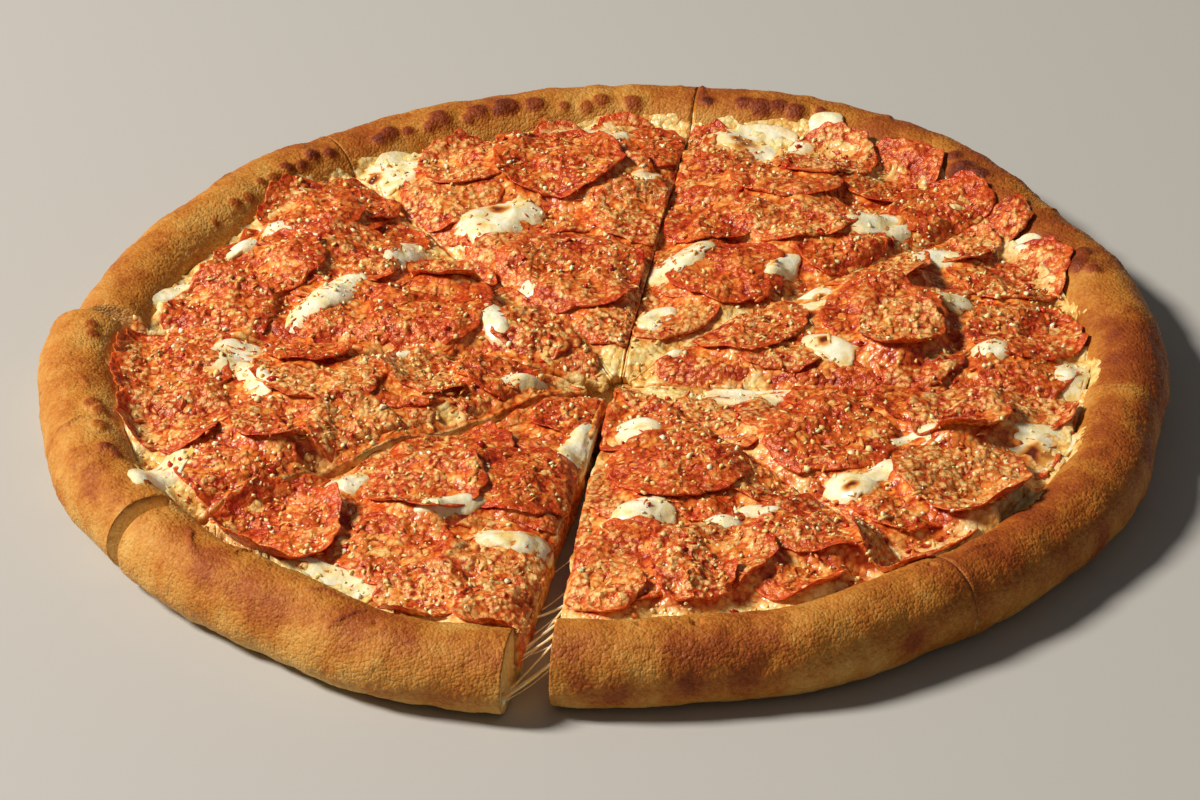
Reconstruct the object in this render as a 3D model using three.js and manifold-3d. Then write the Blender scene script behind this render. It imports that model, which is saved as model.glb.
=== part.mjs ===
// A whole pepperoni pizza, baked with a raised rim and cut into eight slices.
// Units are millimetres and +Z is up. The pizza rests on the plane Z = 0.
// Each slice is a group, moved outward a little where the slice has been pulled. Its pieces are
// placed from the middle of the rim's circle: dough, cheese, pepperoni and mozzarella, in the
// order in which they lie on each other.

import * as THREE from "three";
import { mergeVertices } from "three/addons/utils/BufferGeometryUtils.js";
import Module from "manifold-3d";

const wasm = await Module();
wasm.setup();

// Driving dimensions
const PIZZA_RADIUS = 172; // outermost edge of the rim, on average
const BULGE_ANGLE = THREE.MathUtils.degToRad(60); // where the rim is stretched furthest out
const BULGE_SPREAD = THREE.MathUtils.degToRad(14);
const RIM_HEIGHT = 22;
const RIM_HALF_WIDTH = 12.5;
const RIM_MIDDLE_HEIGHT = 10.5; // height at which the rim bulges out furthest
const DOUGH_THICKNESS = 7;
const CHEESE_TOP = 11.5;
const PEPPERONI_THICKNESS = 1.9;
const BLOB_EDGE = 0.8; // thickness of a mozzarella lump at its edge
const GAP = 0.3; // between pieces that touch
const CUT_WIDTH = 1.2; // left by the cutting wheel
const HUB = [3, -6]; // where the cuts cross, from the middle of the rim's circle
const MIDDLE = [2.2, -1.6]; // of the rim's circle, from the middle of the whole pizza's bounds

// Fineness of the meshes
const STEPS_AROUND = 80;
const DISC_STEPS = 14;

const MATERIALS = {
  dough: new THREE.MeshStandardMaterial({ color: 0xc68c4a, roughness: 0.75, metalness: 0 }),
  cheese: new THREE.MeshStandardMaterial({ color: 0xe6c47c, roughness: 0.45, metalness: 0 }),
  pepperoni: new THREE.MeshStandardMaterial({ color: 0xb4482a, roughness: 0.4, metalness: 0 }),
  mozzarella: new THREE.MeshStandardMaterial({ color: 0xf2e4bc, roughness: 0.4, metalness: 0 }),
};

// The slices in turn. `moved` is how far a slice was pulled from the hub, and `cuts` the degrees
// from +X of its first and last cut. A pepperoni is [x, y, radius, rise of its cupped edge,
// further rise of one side, degrees toward that side]. A mozzarella is [x, y, half length,
// half width, degrees, thickness].
const SLICES = [
  {
    moved: [0, 0], cuts: [-7.7, 37.3],
    pepperoni: [
      [130, 14, 19, 1, 0, 0], [128, 49, 19, 1, 2, 60], [84, 52, 19, 1, 4, -40],
      [42, 19, 20, 1, 1, 150], [85, 19, 20, 1, 2, 10],
    ],
    mozzarella: [],
  },
  {
    moved: [0, 0], cuts: [37.3, 81],
    pepperoni: [
      [109, 88, 18, 1, 2, 70], [38, 47, 19, 1, 0, 0], [62, 82, 19, 1, 2, -60],
      [59, 108, 18, 1, 0, 0], [72, 124, 17, 1, 4, 65],
    ],
    mozzarella: [[52, 138, 13, 8, -18, 3]],
  },
  {
    moved: [0, 0], cuts: [81, 124.8],
    pepperoni: [
      [-52, 98, 17, 1, 0, 0], [-46, 120, 18, 1, 2, 120], [-17, 115, 21, 2, 1, 90],
      [-12, 49, 24, 3, 4, 0],
    ],
    mozzarella: [[-36, 84, 16, 9, 35, 3.5], [-8, 140, 13, 6, 5, 3]],
  },
  {
    moved: [0, 0], cuts: [124.8, 170.5],
    pepperoni: [
      [-97, 88, 17, 1, 2, 130], [-83, 58, 18, 1, 0, 0], [-110, 54, 19, 1, 2, 160],
      [-123, 27, 18, 1, 4, 100], [-56, 25, 20, 1, 2, 60],
    ],
    mozzarella: [[-89, 33, 17, 5, 52, 3]],
  },
  {
    moved: [-6.5, -1.5], cuts: [170.5, 212],
    pepperoni: [
      [-129, -12, 18, 1, 1, 180], [-105, -61, 19, 2, 1, 220], [-126, -34, 18, 1, 2, 200],
      [-82, -11, 21, 1, 2, 180],
    ],
    mozzarella: [],
  },
  {
    moved: [-3.5, -6], cuts: [212, 259.4],
    pepperoni: [
      [-59, -100, 17, 1, 0, 0], [-94, -90, 20, 3, 3, 130],
      [-21, -67, 20, 1, 0, 0], [-51, -71, 18, 1, 3, 250],
    ],
    mozzarella: [[-24, -98, 12, 6, -12, 4], [-79, -114, 13, 7, -25, 3]],
  },
  {
    moved: [0, 0], cuts: [262.6, 308.6],
    pepperoni: [
      [48, -67, 17, 1, 0, 0], [20, -65, 21, 1, 1, -90], [60, -98, 18, 1, 3, -60],
      [88, -104, 18, 1, 4, 200], [7, -111, 19, 1, 1, -60],
    ],
    mozzarella: [],
  },
  {
    moved: [0, 0], cuts: [308.6, 352.3],
    pepperoni: [
      [66, -51, 20, 1, 1, 200], [105, -74, 21, 2, 4, -50],
      [98, -26, 19, 1, 0, 0], [105, -40, 16, 2, 5, -70],
    ],
    mozzarella: [[44, -15, 14, 10, 10, 2.5], [127, -53, 12, 10, 35, 3]],
  },
];

// Manifold solids and three.js geometries

function solidFrom(source) {
  source.deleteAttribute("normal");
  source.deleteAttribute("uv");
  const geometry = mergeVertices(source);
  const corners = geometry.index.array;
  const kept = [];
  for (let i = 0; i < corners.length; i += 3) {
    const [a, b, c] = corners.slice(i, i + 3);
    if (a !== b && b !== c && c !== a) kept.push(a, b, c);
  }
  return new wasm.Manifold(new wasm.Mesh({
    numProp: 3,
    vertProperties: new Float32Array(geometry.attributes.position.array),
    triVerts: new Uint32Array(kept),
  }));
}

function geometryFrom(solid) {
  const mesh = solid.getMesh();
  const geometry = new THREE.BufferGeometry();
  geometry.setAttribute("position", new THREE.BufferAttribute(mesh.vertProperties, 3));
  geometry.setIndex(new THREE.BufferAttribute(mesh.triVerts, 1));
  geometry.computeVertexNormals();
  return geometry;
}

// Shape of the rim and of the food inside it

// The outline is nearly round: slow waves from stretching the dough, one broad bulge at the
// back right, and quick waves from the bubbles in the dough.
function reach(angle) {
  const stretch = 2.7 * Math.sin(angle + 0.7) + Math.sin(2 * angle - 0.4)
    + 0.8 * Math.sin(3 * angle - 2.4);
  const bulge = 6.4 * Math.exp(-(((angle - BULGE_ANGLE) / BULGE_SPREAD) ** 2));
  const bubbles = 0.9 * Math.sin(9 * angle) + 0.6 * Math.sin(16 * angle + 2);
  return 1 + (stretch + bulge + bubbles) / PIZZA_RADIUS;
}

// The rim is a little taller at the front, and it swells and sinks along its length.
function rimLift(angle) {
  const rise = -1.6 * Math.sin(angle) + 0.7 * Math.sin(5 * angle + 1) + 0.5 * Math.sin(11 * angle);
  return 1 + rise / (RIM_HEIGHT - DOUGH_THICKNESS);
}

const RIM_INNER_RADIUS = PIZZA_RADIUS - 2 * RIM_HALF_WIDTH;

// Height of the rim's inner slope: a quarter ellipse from its inner wall up to its crest.
function rimSurface(x, y) {
  const angle = Math.atan2(y, x);
  const inward = (PIZZA_RADIUS - RIM_HALF_WIDTH) - Math.hypot(x, y) / reach(angle);
  if (inward >= RIM_HALF_WIDTH) return 0;
  const across = Math.max(inward, 0) / RIM_HALF_WIDTH;
  const height = RIM_MIDDLE_HEIGHT + (RIM_HEIGHT - RIM_MIDDLE_HEIGHT) * Math.sqrt(1 - across ** 2);
  return DOUGH_THICKNESS + (height - DOUGH_THICKNESS) * rimLift(angle);
}

// Height of the melted cheese, which lies in soft waves.
function cheeseSurface(x, y) {
  return CHEESE_TOP + 0.35 * Math.sin(x / 14 + 1) * Math.cos(y / 12) + 0.25 * Math.sin((x + y) / 19);
}

// A closed profile of [radius, height] pairs, turned once round the Z axis.
function turned(profile) {
  const points = profile.map(([radius, height]) => new THREE.Vector2(radius, height));
  const halfStep = Math.PI / STEPS_AROUND;
  const start = THREE.MathUtils.degToRad(90 + SLICES[0].cuts[0]) + halfStep;
  return new THREE.LatheGeometry(points, STEPS_AROUND, start).rotateX(Math.PI / 2);
}

function reshaped(geometry, heightOf) {
  const position = geometry.attributes.position;
  for (let i = 0; i < position.count; i++) {
    const [x, y, z] = [position.getX(i), position.getY(i), position.getZ(i)];
    const scale = reach(Math.atan2(y, x));
    position.setXYZ(i, x * scale, y * scale, heightOf(x * scale, y * scale, z));
  }
  return geometry;
}

function doughGeometry() {
  const crest = PIZZA_RADIUS - RIM_HALF_WIDTH;
  const start = -72; // degrees round the rim's section, where it leaves the surface below
  const step = 28;
  const lowerHalf = RIM_MIDDLE_HEIGHT / Math.sin(THREE.MathUtils.degToRad(-start));
  const rim = [];
  for (let degrees = start; degrees <= 180; degrees += step) {
    const turn = THREE.MathUtils.degToRad(degrees);
    const half = degrees < 0 ? lowerHalf : RIM_HEIGHT - RIM_MIDDLE_HEIGHT;
    rim.push([crest + RIM_HALF_WIDTH * Math.cos(turn), RIM_MIDDLE_HEIGHT + half * Math.sin(turn)]);
  }
  rim[0][1] = 0;
  const profile = [[0, 0], ...rim, [RIM_INNER_RADIUS, DOUGH_THICKNESS], [0, DOUGH_THICKNESS]];
  return reshaped(turned(profile), (x, y, z) => {
    if (z <= DOUGH_THICKNESS) return z;
    return DOUGH_THICKNESS + (z - DOUGH_THICKNESS) * rimLift(Math.atan2(y, x));
  });
}

function cheeseGeometry() {
  const bottom = DOUGH_THICKNESS + GAP;
  const edge = RIM_INNER_RADIUS - GAP - 0.1;
  const profile = [[0, bottom], [edge, bottom], [edge, CHEESE_TOP - 1], [edge - 4, CHEESE_TOP]];
  for (const radius of [104, 66, 28, 0]) profile.push([radius, CHEESE_TOP]);
  return reshaped(turned(profile), (x, y, z) => {
    return z < CHEESE_TOP - 2 ? z : z - CHEESE_TOP + cheeseSurface(x, y);
  });
}

// The space that a piece keeps clear of what lies on it: a little wider and higher than itself,
// or higher and narrower inside, with a negative radius, for the ring of the rim.
function clearance(geometry, x, y, radius) {
  const grown = 1 + GAP / radius;
  return solidFrom(geometry.translate(-x, -y, 0).scale(grown, grown, 1).translate(x, y, GAP));
}

// The wedge of space that one slice fills, half a cut's width inside its two cuts.
function wedge(first, last) {
  const [from, to] = [first, last].map(THREE.MathUtils.degToRad);
  const tip = CUT_WIDTH / 2 / Math.sin((to - from) / 2);
  const middle = (from + to) / 2;
  const length = 1.5 * PIZZA_RADIUS;
  const margin = RIM_HEIGHT; // above and below the pizza
  const apex = [HUB[0] + tip * Math.cos(middle), HUB[1] + tip * Math.sin(middle)];
  const outline = new THREE.Shape([
    new THREE.Vector2(...apex),
    new THREE.Vector2(apex[0] + length * Math.cos(from), apex[1] + length * Math.sin(from)),
    new THREE.Vector2(apex[0] + length * Math.cos(to), apex[1] + length * Math.sin(to)),
  ]);
  const depth = RIM_HEIGHT + 2 * margin;
  const space = new THREE.ExtrudeGeometry(outline, { depth, bevelEnabled: false });
  return solidFrom(space.translate(0, 0, -margin));
}

// Toppings

// Height on which a topping comes to rest, over the cheese, the rim and the pieces laid before.
function restingHeight(x, y, pile) {
  let height = Math.max(cheeseSurface(x, y), rimSurface(x, y));
  for (const piece of pile) height = Math.max(height, piece.topAt(x, y));
  return height;
}

// A limp disc that lies on what is below it. `profileAt(across, turn)` gives how high its
// underside stands off, and how thick it is there.
function limpDisc(x, y, halfLength, halfWidth, degrees, pile, profileAt) {
  const yaw = THREE.MathUtils.degToRad(degrees);
  const [cos, sin] = [Math.cos(yaw), Math.sin(yaw)];
  const margin = 3; // how far the bulge over a hidden edge reaches past that edge
  const slope = 0.3; // of the bulge beyond that margin
  const faraway = 20;
  const below = [...pile];

  function placeAt(across, turn) {
    const u = halfLength * across * Math.cos(turn);
    const v = halfWidth * across * Math.sin(turn);
    return [x + u * cos - v * sin, y + u * sin + v * cos];
  }

  function heightsAt(across, turn) {
    const [rise, thickness] = profileAt(across, turn);
    const bottom = restingHeight(...placeAt(across, turn), below) + GAP + rise;
    return [bottom, bottom + thickness];
  }

  function topAt(px, py) {
    const [dx, dy] = [px - x, py - y];
    const u = (dx * cos + dy * sin) / halfLength;
    const v = (dy * cos - dx * sin) / halfWidth;
    const across = Math.hypot(u, v);
    const outside = (across - 1) * Math.min(halfLength, halfWidth);
    if (outside > faraway) return 0;
    const top = heightsAt(Math.min(across, 1), Math.atan2(v, u))[1];
    return top - slope * Math.max(0, outside - margin);
  }

  function geometry() {
    const rings = [0.55, 1];
    const points = [];
    for (const side of [0, 1]) {
      points.push([...placeAt(0, 0), heightsAt(0, 0)[side]]);
      for (const across of rings) {
        for (let i = 0; i < DISC_STEPS; i++) {
          const turn = (2 * Math.PI * i) / DISC_STEPS;
          points.push([...placeAt(across, turn), heightsAt(across, turn)[side]]);
        }
      }
    }
    const half = points.length / 2;
    const corners = [];
    for (let i = 0; i < DISC_STEPS; i++) {
      const next = (i + 1) % DISC_STEPS;
      const [a, b] = [1 + i, 1 + next];
      const [c, d] = [a + DISC_STEPS, b + DISC_STEPS];
      corners.push(0, b, a, a, b, d, a, d, c); // underside
      corners.push(half, half + a, half + b); // top
      corners.push(half + a, half + d, half + b, half + a, half + c, half + d);
      corners.push(c, d, half + d, c, half + d, half + c); // edge
    }
    const disc = new THREE.BufferGeometry();
    disc.setAttribute("position", new THREE.Float32BufferAttribute(points.flat(), 3));
    disc.setIndex(corners);
    return disc;
  }

  return { topAt, geometry, clear: () => clearance(geometry(), x, y, halfWidth) };
}

function pepperoniDisc([x, y, radius, cup, lift, toward], pile) {
  const raised = THREE.MathUtils.degToRad(toward);
  return limpDisc(x, y, radius, radius * 0.96, 0, pile, (across, turn) => {
    const side = Math.max(0, across * Math.cos(turn - raised));
    return [cup * across ** 2 + lift * side ** 2, PEPPERONI_THICKNESS];
  });
}

function mozzarellaBlob([x, y, halfLength, halfWidth, degrees, thickness], pile) {
  return limpDisc(x, y, halfLength, halfWidth, degrees, pile, (across) => {
    return [0, BLOB_EDGE + (thickness - BLOB_EDGE) * (1 - across ** 2)];
  });
}

// Assembly

const pizza = new THREE.Group();
pizza.position.set(...MIDDLE, 0);
const dough = solidFrom(doughGeometry());
const cheese = solidFrom(cheeseGeometry());
const doughClear = clearance(doughGeometry(), 0, 0, -RIM_INNER_RADIUS);

SLICES.forEach(({ moved, cuts, pepperoni, mozzarella }, index) => {
  const number = index + 1;
  const space = wedge(...cuts);
  const slice = new THREE.Group();
  slice.position.set(...moved, 0);
  pizza.add(slice);

  function add(name, material, solid) {
    const mesh = new THREE.Mesh(geometryFrom(solid), MATERIALS[material].clone());
    mesh.name = name;
    slice.add(mesh);
  }

  add(`dough_${number}`, "dough", dough.intersect(space));
  add(`cheese_${number}`, "cheese", cheese.intersect(space));
  const pile = [];

  function lay(name, material, topping) {
    let solid = solidFrom(topping.geometry()).intersect(space).subtract(doughClear);
    for (const piece of pile) solid = solid.subtract(piece.clear());
    pile.push(topping);
    add(name, material, solid);
  }

  pepperoni.forEach((placing, count) => {
    lay(`pepperoni_${number}_${count + 1}`, "pepperoni", pepperoniDisc(placing, pile));
  });
  mozzarella.forEach((placing, count) => {
    lay(`mozzarella_${number}_${count + 1}`, "mozzarella", mozzarellaBlob(placing, pile));
  });
});

export default pizza;
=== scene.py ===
# %% [markdown]
# # A whole pepperoni pizza, cut into eight slices
# This lesson makes a baked pizza: a blistered rim of crust, melted cheese, cupped pepperoni that
# lie over each other, lumps of mozzarella, crumbs, herbs and strings of cheese.
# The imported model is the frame. It says where every slice and topping lies, and the fine
# surfaces made here stand for its plain solids, in the same place and at the same size.

# %% Load the frame
import bpy
import numpy as np
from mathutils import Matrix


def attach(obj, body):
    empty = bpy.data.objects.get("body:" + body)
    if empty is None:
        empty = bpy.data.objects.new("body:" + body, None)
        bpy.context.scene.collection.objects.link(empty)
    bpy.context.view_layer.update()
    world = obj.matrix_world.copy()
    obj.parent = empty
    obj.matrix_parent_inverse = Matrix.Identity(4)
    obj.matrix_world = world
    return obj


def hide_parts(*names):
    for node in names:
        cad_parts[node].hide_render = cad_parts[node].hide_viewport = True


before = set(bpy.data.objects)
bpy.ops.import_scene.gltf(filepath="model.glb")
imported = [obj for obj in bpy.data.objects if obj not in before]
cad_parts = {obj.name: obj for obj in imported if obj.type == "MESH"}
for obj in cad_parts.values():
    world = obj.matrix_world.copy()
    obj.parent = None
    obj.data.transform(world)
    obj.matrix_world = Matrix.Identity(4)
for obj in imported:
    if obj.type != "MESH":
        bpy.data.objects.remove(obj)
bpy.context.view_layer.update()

# %% [markdown]
# ## Sizes
# All sizes are in millimetres, as a baker would state them, and become metres when a mesh is
# made. They are the driving sizes of the solids. The toppings are placed from the middle of the
# rim's circle. The cuts cross a little in front of it, and two slices have been pulled outward.

# %% Driving sizes
MM = 0.001
PIZZA_RADIUS = 172.0
BULGE_ANGLE, BULGE_SPREAD = np.radians(60), np.radians(14)
RIM_HEIGHT = 22.0
RIM_HALF_WIDTH = 12.5
RIM_MIDDLE_HEIGHT = 10.5
RIM_INNER_RADIUS = PIZZA_RADIUS - 2 * RIM_HALF_WIDTH
DOUGH_THICKNESS = 7.0
CHEESE_TOP = 11.5
CUT_WIDTH = 1.2
HUB = np.array([3.0, -6.0])
MIDDLE = np.array([2.2, -1.6])
CUTS = [(-7.7, 37.3), (37.3, 81), (81, 124.8), (124.8, 170.5),  # degrees, slice by slice
        (170.5, 212), (212, 259.4), (262.6, 308.6), (308.6, 352.3)]
MOVED = {5: (-6.5, -1.5), 6: (-3.5, -6.0)}
# Whether a slice's first and last cut stand open
OPEN_CUTS = {4: (0, 1), 5: (1, 1), 6: (1, 1), 7: (1, 0)}
print(len(CUTS), "slices of a pizza about", 2 * PIZZA_RADIUS, "mm across")

# %% [markdown]
# ## Smooth noise
# Food is uneven at every size, from the slow swell of the rim down to its pinhead blisters. One
# noise function makes all of it. Its random values come from a seeded table, so that the pizza
# is the same each time it is made.

# %% Noise
LATTICE = 64  # values along each axis before the noise repeats
OCTAVE_OFFSET = 13.7  # in cells, so that the octaves' lattices don't line up


def noise(points, size, seed, octaves=1):
    """Random values from -1 to 1 sit on a cubic lattice `size` apart. A point takes the mean of
    the eight round it, weighted by t*t*(3 - 2t) along each axis. Each further octave has half
    the size and half the strength."""
    table = np.random.default_rng(seed).uniform(-1, 1, (LATTICE,) * 3)
    total, strength = np.zeros(points.shape[:-1]), 1.0
    for octave in range(octaves):
        scaled = points / size * 2**octave + OCTAVE_OFFSET * (octave + 1)
        cell = np.floor(scaled).astype(int)
        step = scaled - cell
        step = step * step * (3 - 2 * step)
        for corner in np.ndindex(2, 2, 2):
            index = (cell + corner) % LATTICE
            weight = np.prod(np.where(corner, step, 1 - step), axis=-1)
            total += strength * weight * table[index[..., 0], index[..., 1], index[..., 2]]
        strength /= 2
    return total


def flat_noise(x, y, size, seed, octaves=1):
    """The same noise over a plane, at height zero."""
    return noise(np.stack([x, y, np.zeros_like(x)], -1), size, seed, octaves)


print("noise along a line:", flat_noise(np.arange(5.0), np.zeros(5), 3, 1).round(2).tolist())

# %% [markdown]
# ## The baked shape
# The outline, the rim's swell and the cheese's waves are the formulas of the solids. Everything
# else is placed on them.

# %% Outline, rim and cheese
def reach(angle):
    """How far out the outline is at an angle, as a share of the pizza's radius: slow waves, one
    broad bell-shaped bulge and quick waves."""
    stretch = (2.7 * np.sin(angle + 0.7) + np.sin(2 * angle - 0.4)
               + 0.8 * np.sin(3 * angle - 2.4))
    bulge = 6.4 * np.exp(-(((angle - BULGE_ANGLE) / BULGE_SPREAD) ** 2))
    bubbles = 0.9 * np.sin(9 * angle) + 0.6 * np.sin(16 * angle + 2)
    return 1 + (stretch + bulge + bubbles) / PIZZA_RADIUS


def rim_lift(angle):
    """Stretches the rim's height above the dough, which rises toward the front."""
    rise = -1.6 * np.sin(angle) + 0.7 * np.sin(5 * angle + 1) + 0.5 * np.sin(11 * angle)
    return 1 + rise / (RIM_HEIGHT - DOUGH_THICKNESS)


def rim_surface(x, y):
    """Height of the rim's inner slope: a quarter ellipse up to the crest, zero inside it."""
    angle = np.arctan2(y, x)
    inward = (PIZZA_RADIUS - RIM_HALF_WIDTH) - np.hypot(x, y) / reach(angle)
    across = np.clip(inward / RIM_HALF_WIDTH, 0, 1)
    height = RIM_MIDDLE_HEIGHT + (RIM_HEIGHT - RIM_MIDDLE_HEIGHT) * np.sqrt(1 - across**2)
    height = DOUGH_THICKNESS + (height - DOUGH_THICKNESS) * rim_lift(angle)
    return np.where(inward < RIM_HALF_WIDTH, height, 0)


def cheese_surface(x, y):
    """Height of the cheese before the toppings: two soft waves."""
    return CHEESE_TOP + 0.35 * np.sin(x / 14 + 1) * np.cos(y / 12) + 0.25 * np.sin((x + y) / 19)

around = np.radians(np.arange(0, 360, 45))
print("radius every 45 degrees:", np.round(PIZZA_RADIUS * reach(around), 1).tolist())

# %% Slices
EDGE_GUESSES = 6


class Slice:
    """One slice: its number, how far it lies from where the rim's circle is worked out, the
    directions of its two cuts, which of them stand open, and its tip, half a cut's width inside
    both."""

    def __init__(self, number):
        self.number = number
        self.shift = MIDDLE + MOVED.get(number, (0.0, 0.0))
        self.first, self.last = np.radians(CUTS[number - 1])
        middle, half = (self.first + self.last) / 2, (self.last - self.first) / 2
        tip = CUT_WIDTH / 2 / np.sin(half)
        self.tip = HUB + tip * np.array([np.cos(middle), np.sin(middle)])
        self.open = np.array(OPEN_CUTS.get(number, (0, 0)))
        # The cuts' normals, both pointing into the slice
        self.normals = np.array([[-np.sin(self.first), np.cos(self.first)],
                                 [np.sin(self.last), -np.cos(self.last)]])

    def sides(self, x, y):
        """How far inside each of the two cuts a point lies."""
        return np.stack([x - self.tip[0], y - self.tip[1]], -1) @ self.normals.T

    def depth(self, x, y):
        """How far inside the nearer cut a point lies."""
        return self.sides(x, y).min(-1)

    def edge(self, angle):
        """Distance from the tip to the outline along each angle: a guess is scaled by how far
        it misses the outline, a few times over."""
        distance = np.full_like(angle, PIZZA_RADIUS)
        for _ in range(EDGE_GUESSES):
            x = self.tip[0] + distance * np.cos(angle)
            y = self.tip[1] + distance * np.sin(angle)
            distance *= PIZZA_RADIUS * reach(np.arctan2(y, x)) / np.hypot(x, y)
        return distance


SLICES = [Slice(number) for number in range(1, len(CUTS) + 1)]
reaches = [round(float(slice_.edge(np.array([slice_.first]))[0]), 1) for slice_ in SLICES]
print("each slice's first cut is this long:", reaches)

# %% [markdown]
# ## Closed skins from grids
# Each piece is a closed skin. It is put together from grids of points that share their edges:
# a top, walls, a fan for the flat bottom. Welding the equal points closes it, and then each
# point may be pushed along its normal, which roughens the skin without opening a seam.

# %% Skins
WELDS_PER_MM = 1000


class Skin:
    """Collects grids of points and welds them into one closed mesh."""

    def __init__(self):
        self.points, self.faces, self.count = [], [], 0

    def _take(self, points):
        start, self.count = self.count, self.count + len(points)
        self.points.append(points)
        return start

    def grid(self, points, flip=False):
        """Two triangles for each cell. Faces point along first axis x second axis."""
        rows, columns = points.shape[:2]
        index = self._take(points.reshape(-1, 3)) + np.arange(rows * columns)
        index = index.reshape(rows, columns)
        a, b, c, d = index[:-1, :-1], index[1:, :-1], index[1:, 1:], index[:-1, 1:]
        faces = np.stack([a, b, c, a, c, d], -1).reshape(-1, 3)
        self.faces.append(faces[:, ::-1] if flip else faces)

    def fan(self, loop, centre):
        """Triangles from a centre to a closed loop. They face down if it runs anticlockwise."""
        start = self._take(np.vstack([loop, [centre]]))
        here = start + np.arange(len(loop))
        middle = np.full(len(loop), start + len(loop))
        self.faces.append(np.stack([np.roll(here, -1), here, middle], -1))

    def welded(self):
        """Points nearer than a thousandth of a millimetre become one, and faces that collapse
        are dropped."""
        points, faces = np.vstack(self.points), np.vstack(self.faces)
        _, keep, where = np.unique(np.round(points * WELDS_PER_MM).astype(np.int64),
                                   axis=0, return_index=True, return_inverse=True)
        faces = where.ravel()[faces]
        a, b, c = faces.T
        return points[keep], faces[(a != b) & (b != c) & (c != a)]


def normals_of(points, faces):
    """Each point's normal: the sum of its faces' cross products, made one long."""
    a, b, c = points[faces[:, 0]], points[faces[:, 1]], points[faces[:, 2]]
    cross = np.cross(b - a, c - a)
    total = np.stack([sum(np.bincount(faces[:, k], cross[:, axis], len(points))
                          for k in range(3)) for axis in range(3)], -1)
    return total / np.maximum(np.linalg.norm(total, axis=1, keepdims=True), 1e-12)


def add_piece(name, points, faces, material, slot, nodes=(), **attributes):
    """A smooth mesh object in metres that rides on the pizza and stands for the nodes. Each
    attribute holds one value for each point, for the material to read. The volume under its
    faces, a sum of a . (b x c), is negative if they point inward."""
    mesh = bpy.data.meshes.new(name)
    mesh.vertices.add(len(points))
    mesh.vertices.foreach_set("co", (points * MM).astype(np.float32).ravel())
    mesh.loops.add(faces.size)
    mesh.loops.foreach_set("vertex_index", faces.astype(np.int32).ravel())
    mesh.polygons.add(len(faces))
    mesh.polygons.foreach_set("loop_start", np.arange(0, faces.size, 3, dtype=np.int32))
    mesh.update(calc_edges=True)
    mesh.polygons.foreach_set("use_smooth", np.ones(len(faces), bool))
    for key, values in attributes.items():
        layer = mesh.attributes.new(key, "FLOAT", "POINT")
        layer.data.foreach_set("value", values.astype(np.float32))
    mesh.materials.append(material)
    a, b, c = points[faces[:, 0]], points[faces[:, 1]], points[faces[:, 2]]
    if (a * np.cross(b, c)).sum() <= 0:
        print(name, "is inside out")
    piece = bpy.data.objects.new(name, mesh)
    bpy.context.scene.collection.objects.link(piece)
    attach(piece, "root")
    if nodes:
        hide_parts(*nodes)


def placed(slice_, points):
    """Points of a slice, moved to where the slice lies."""
    return points + np.array([*slice_.shift, 0.0])

# %% [markdown]
# ## Materials from nodes
# A finish is a small node tree. This helper adds a node, sets its sockets and links what is
# given as a link, so that each finish below reads as a list of what it is made of.

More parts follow.
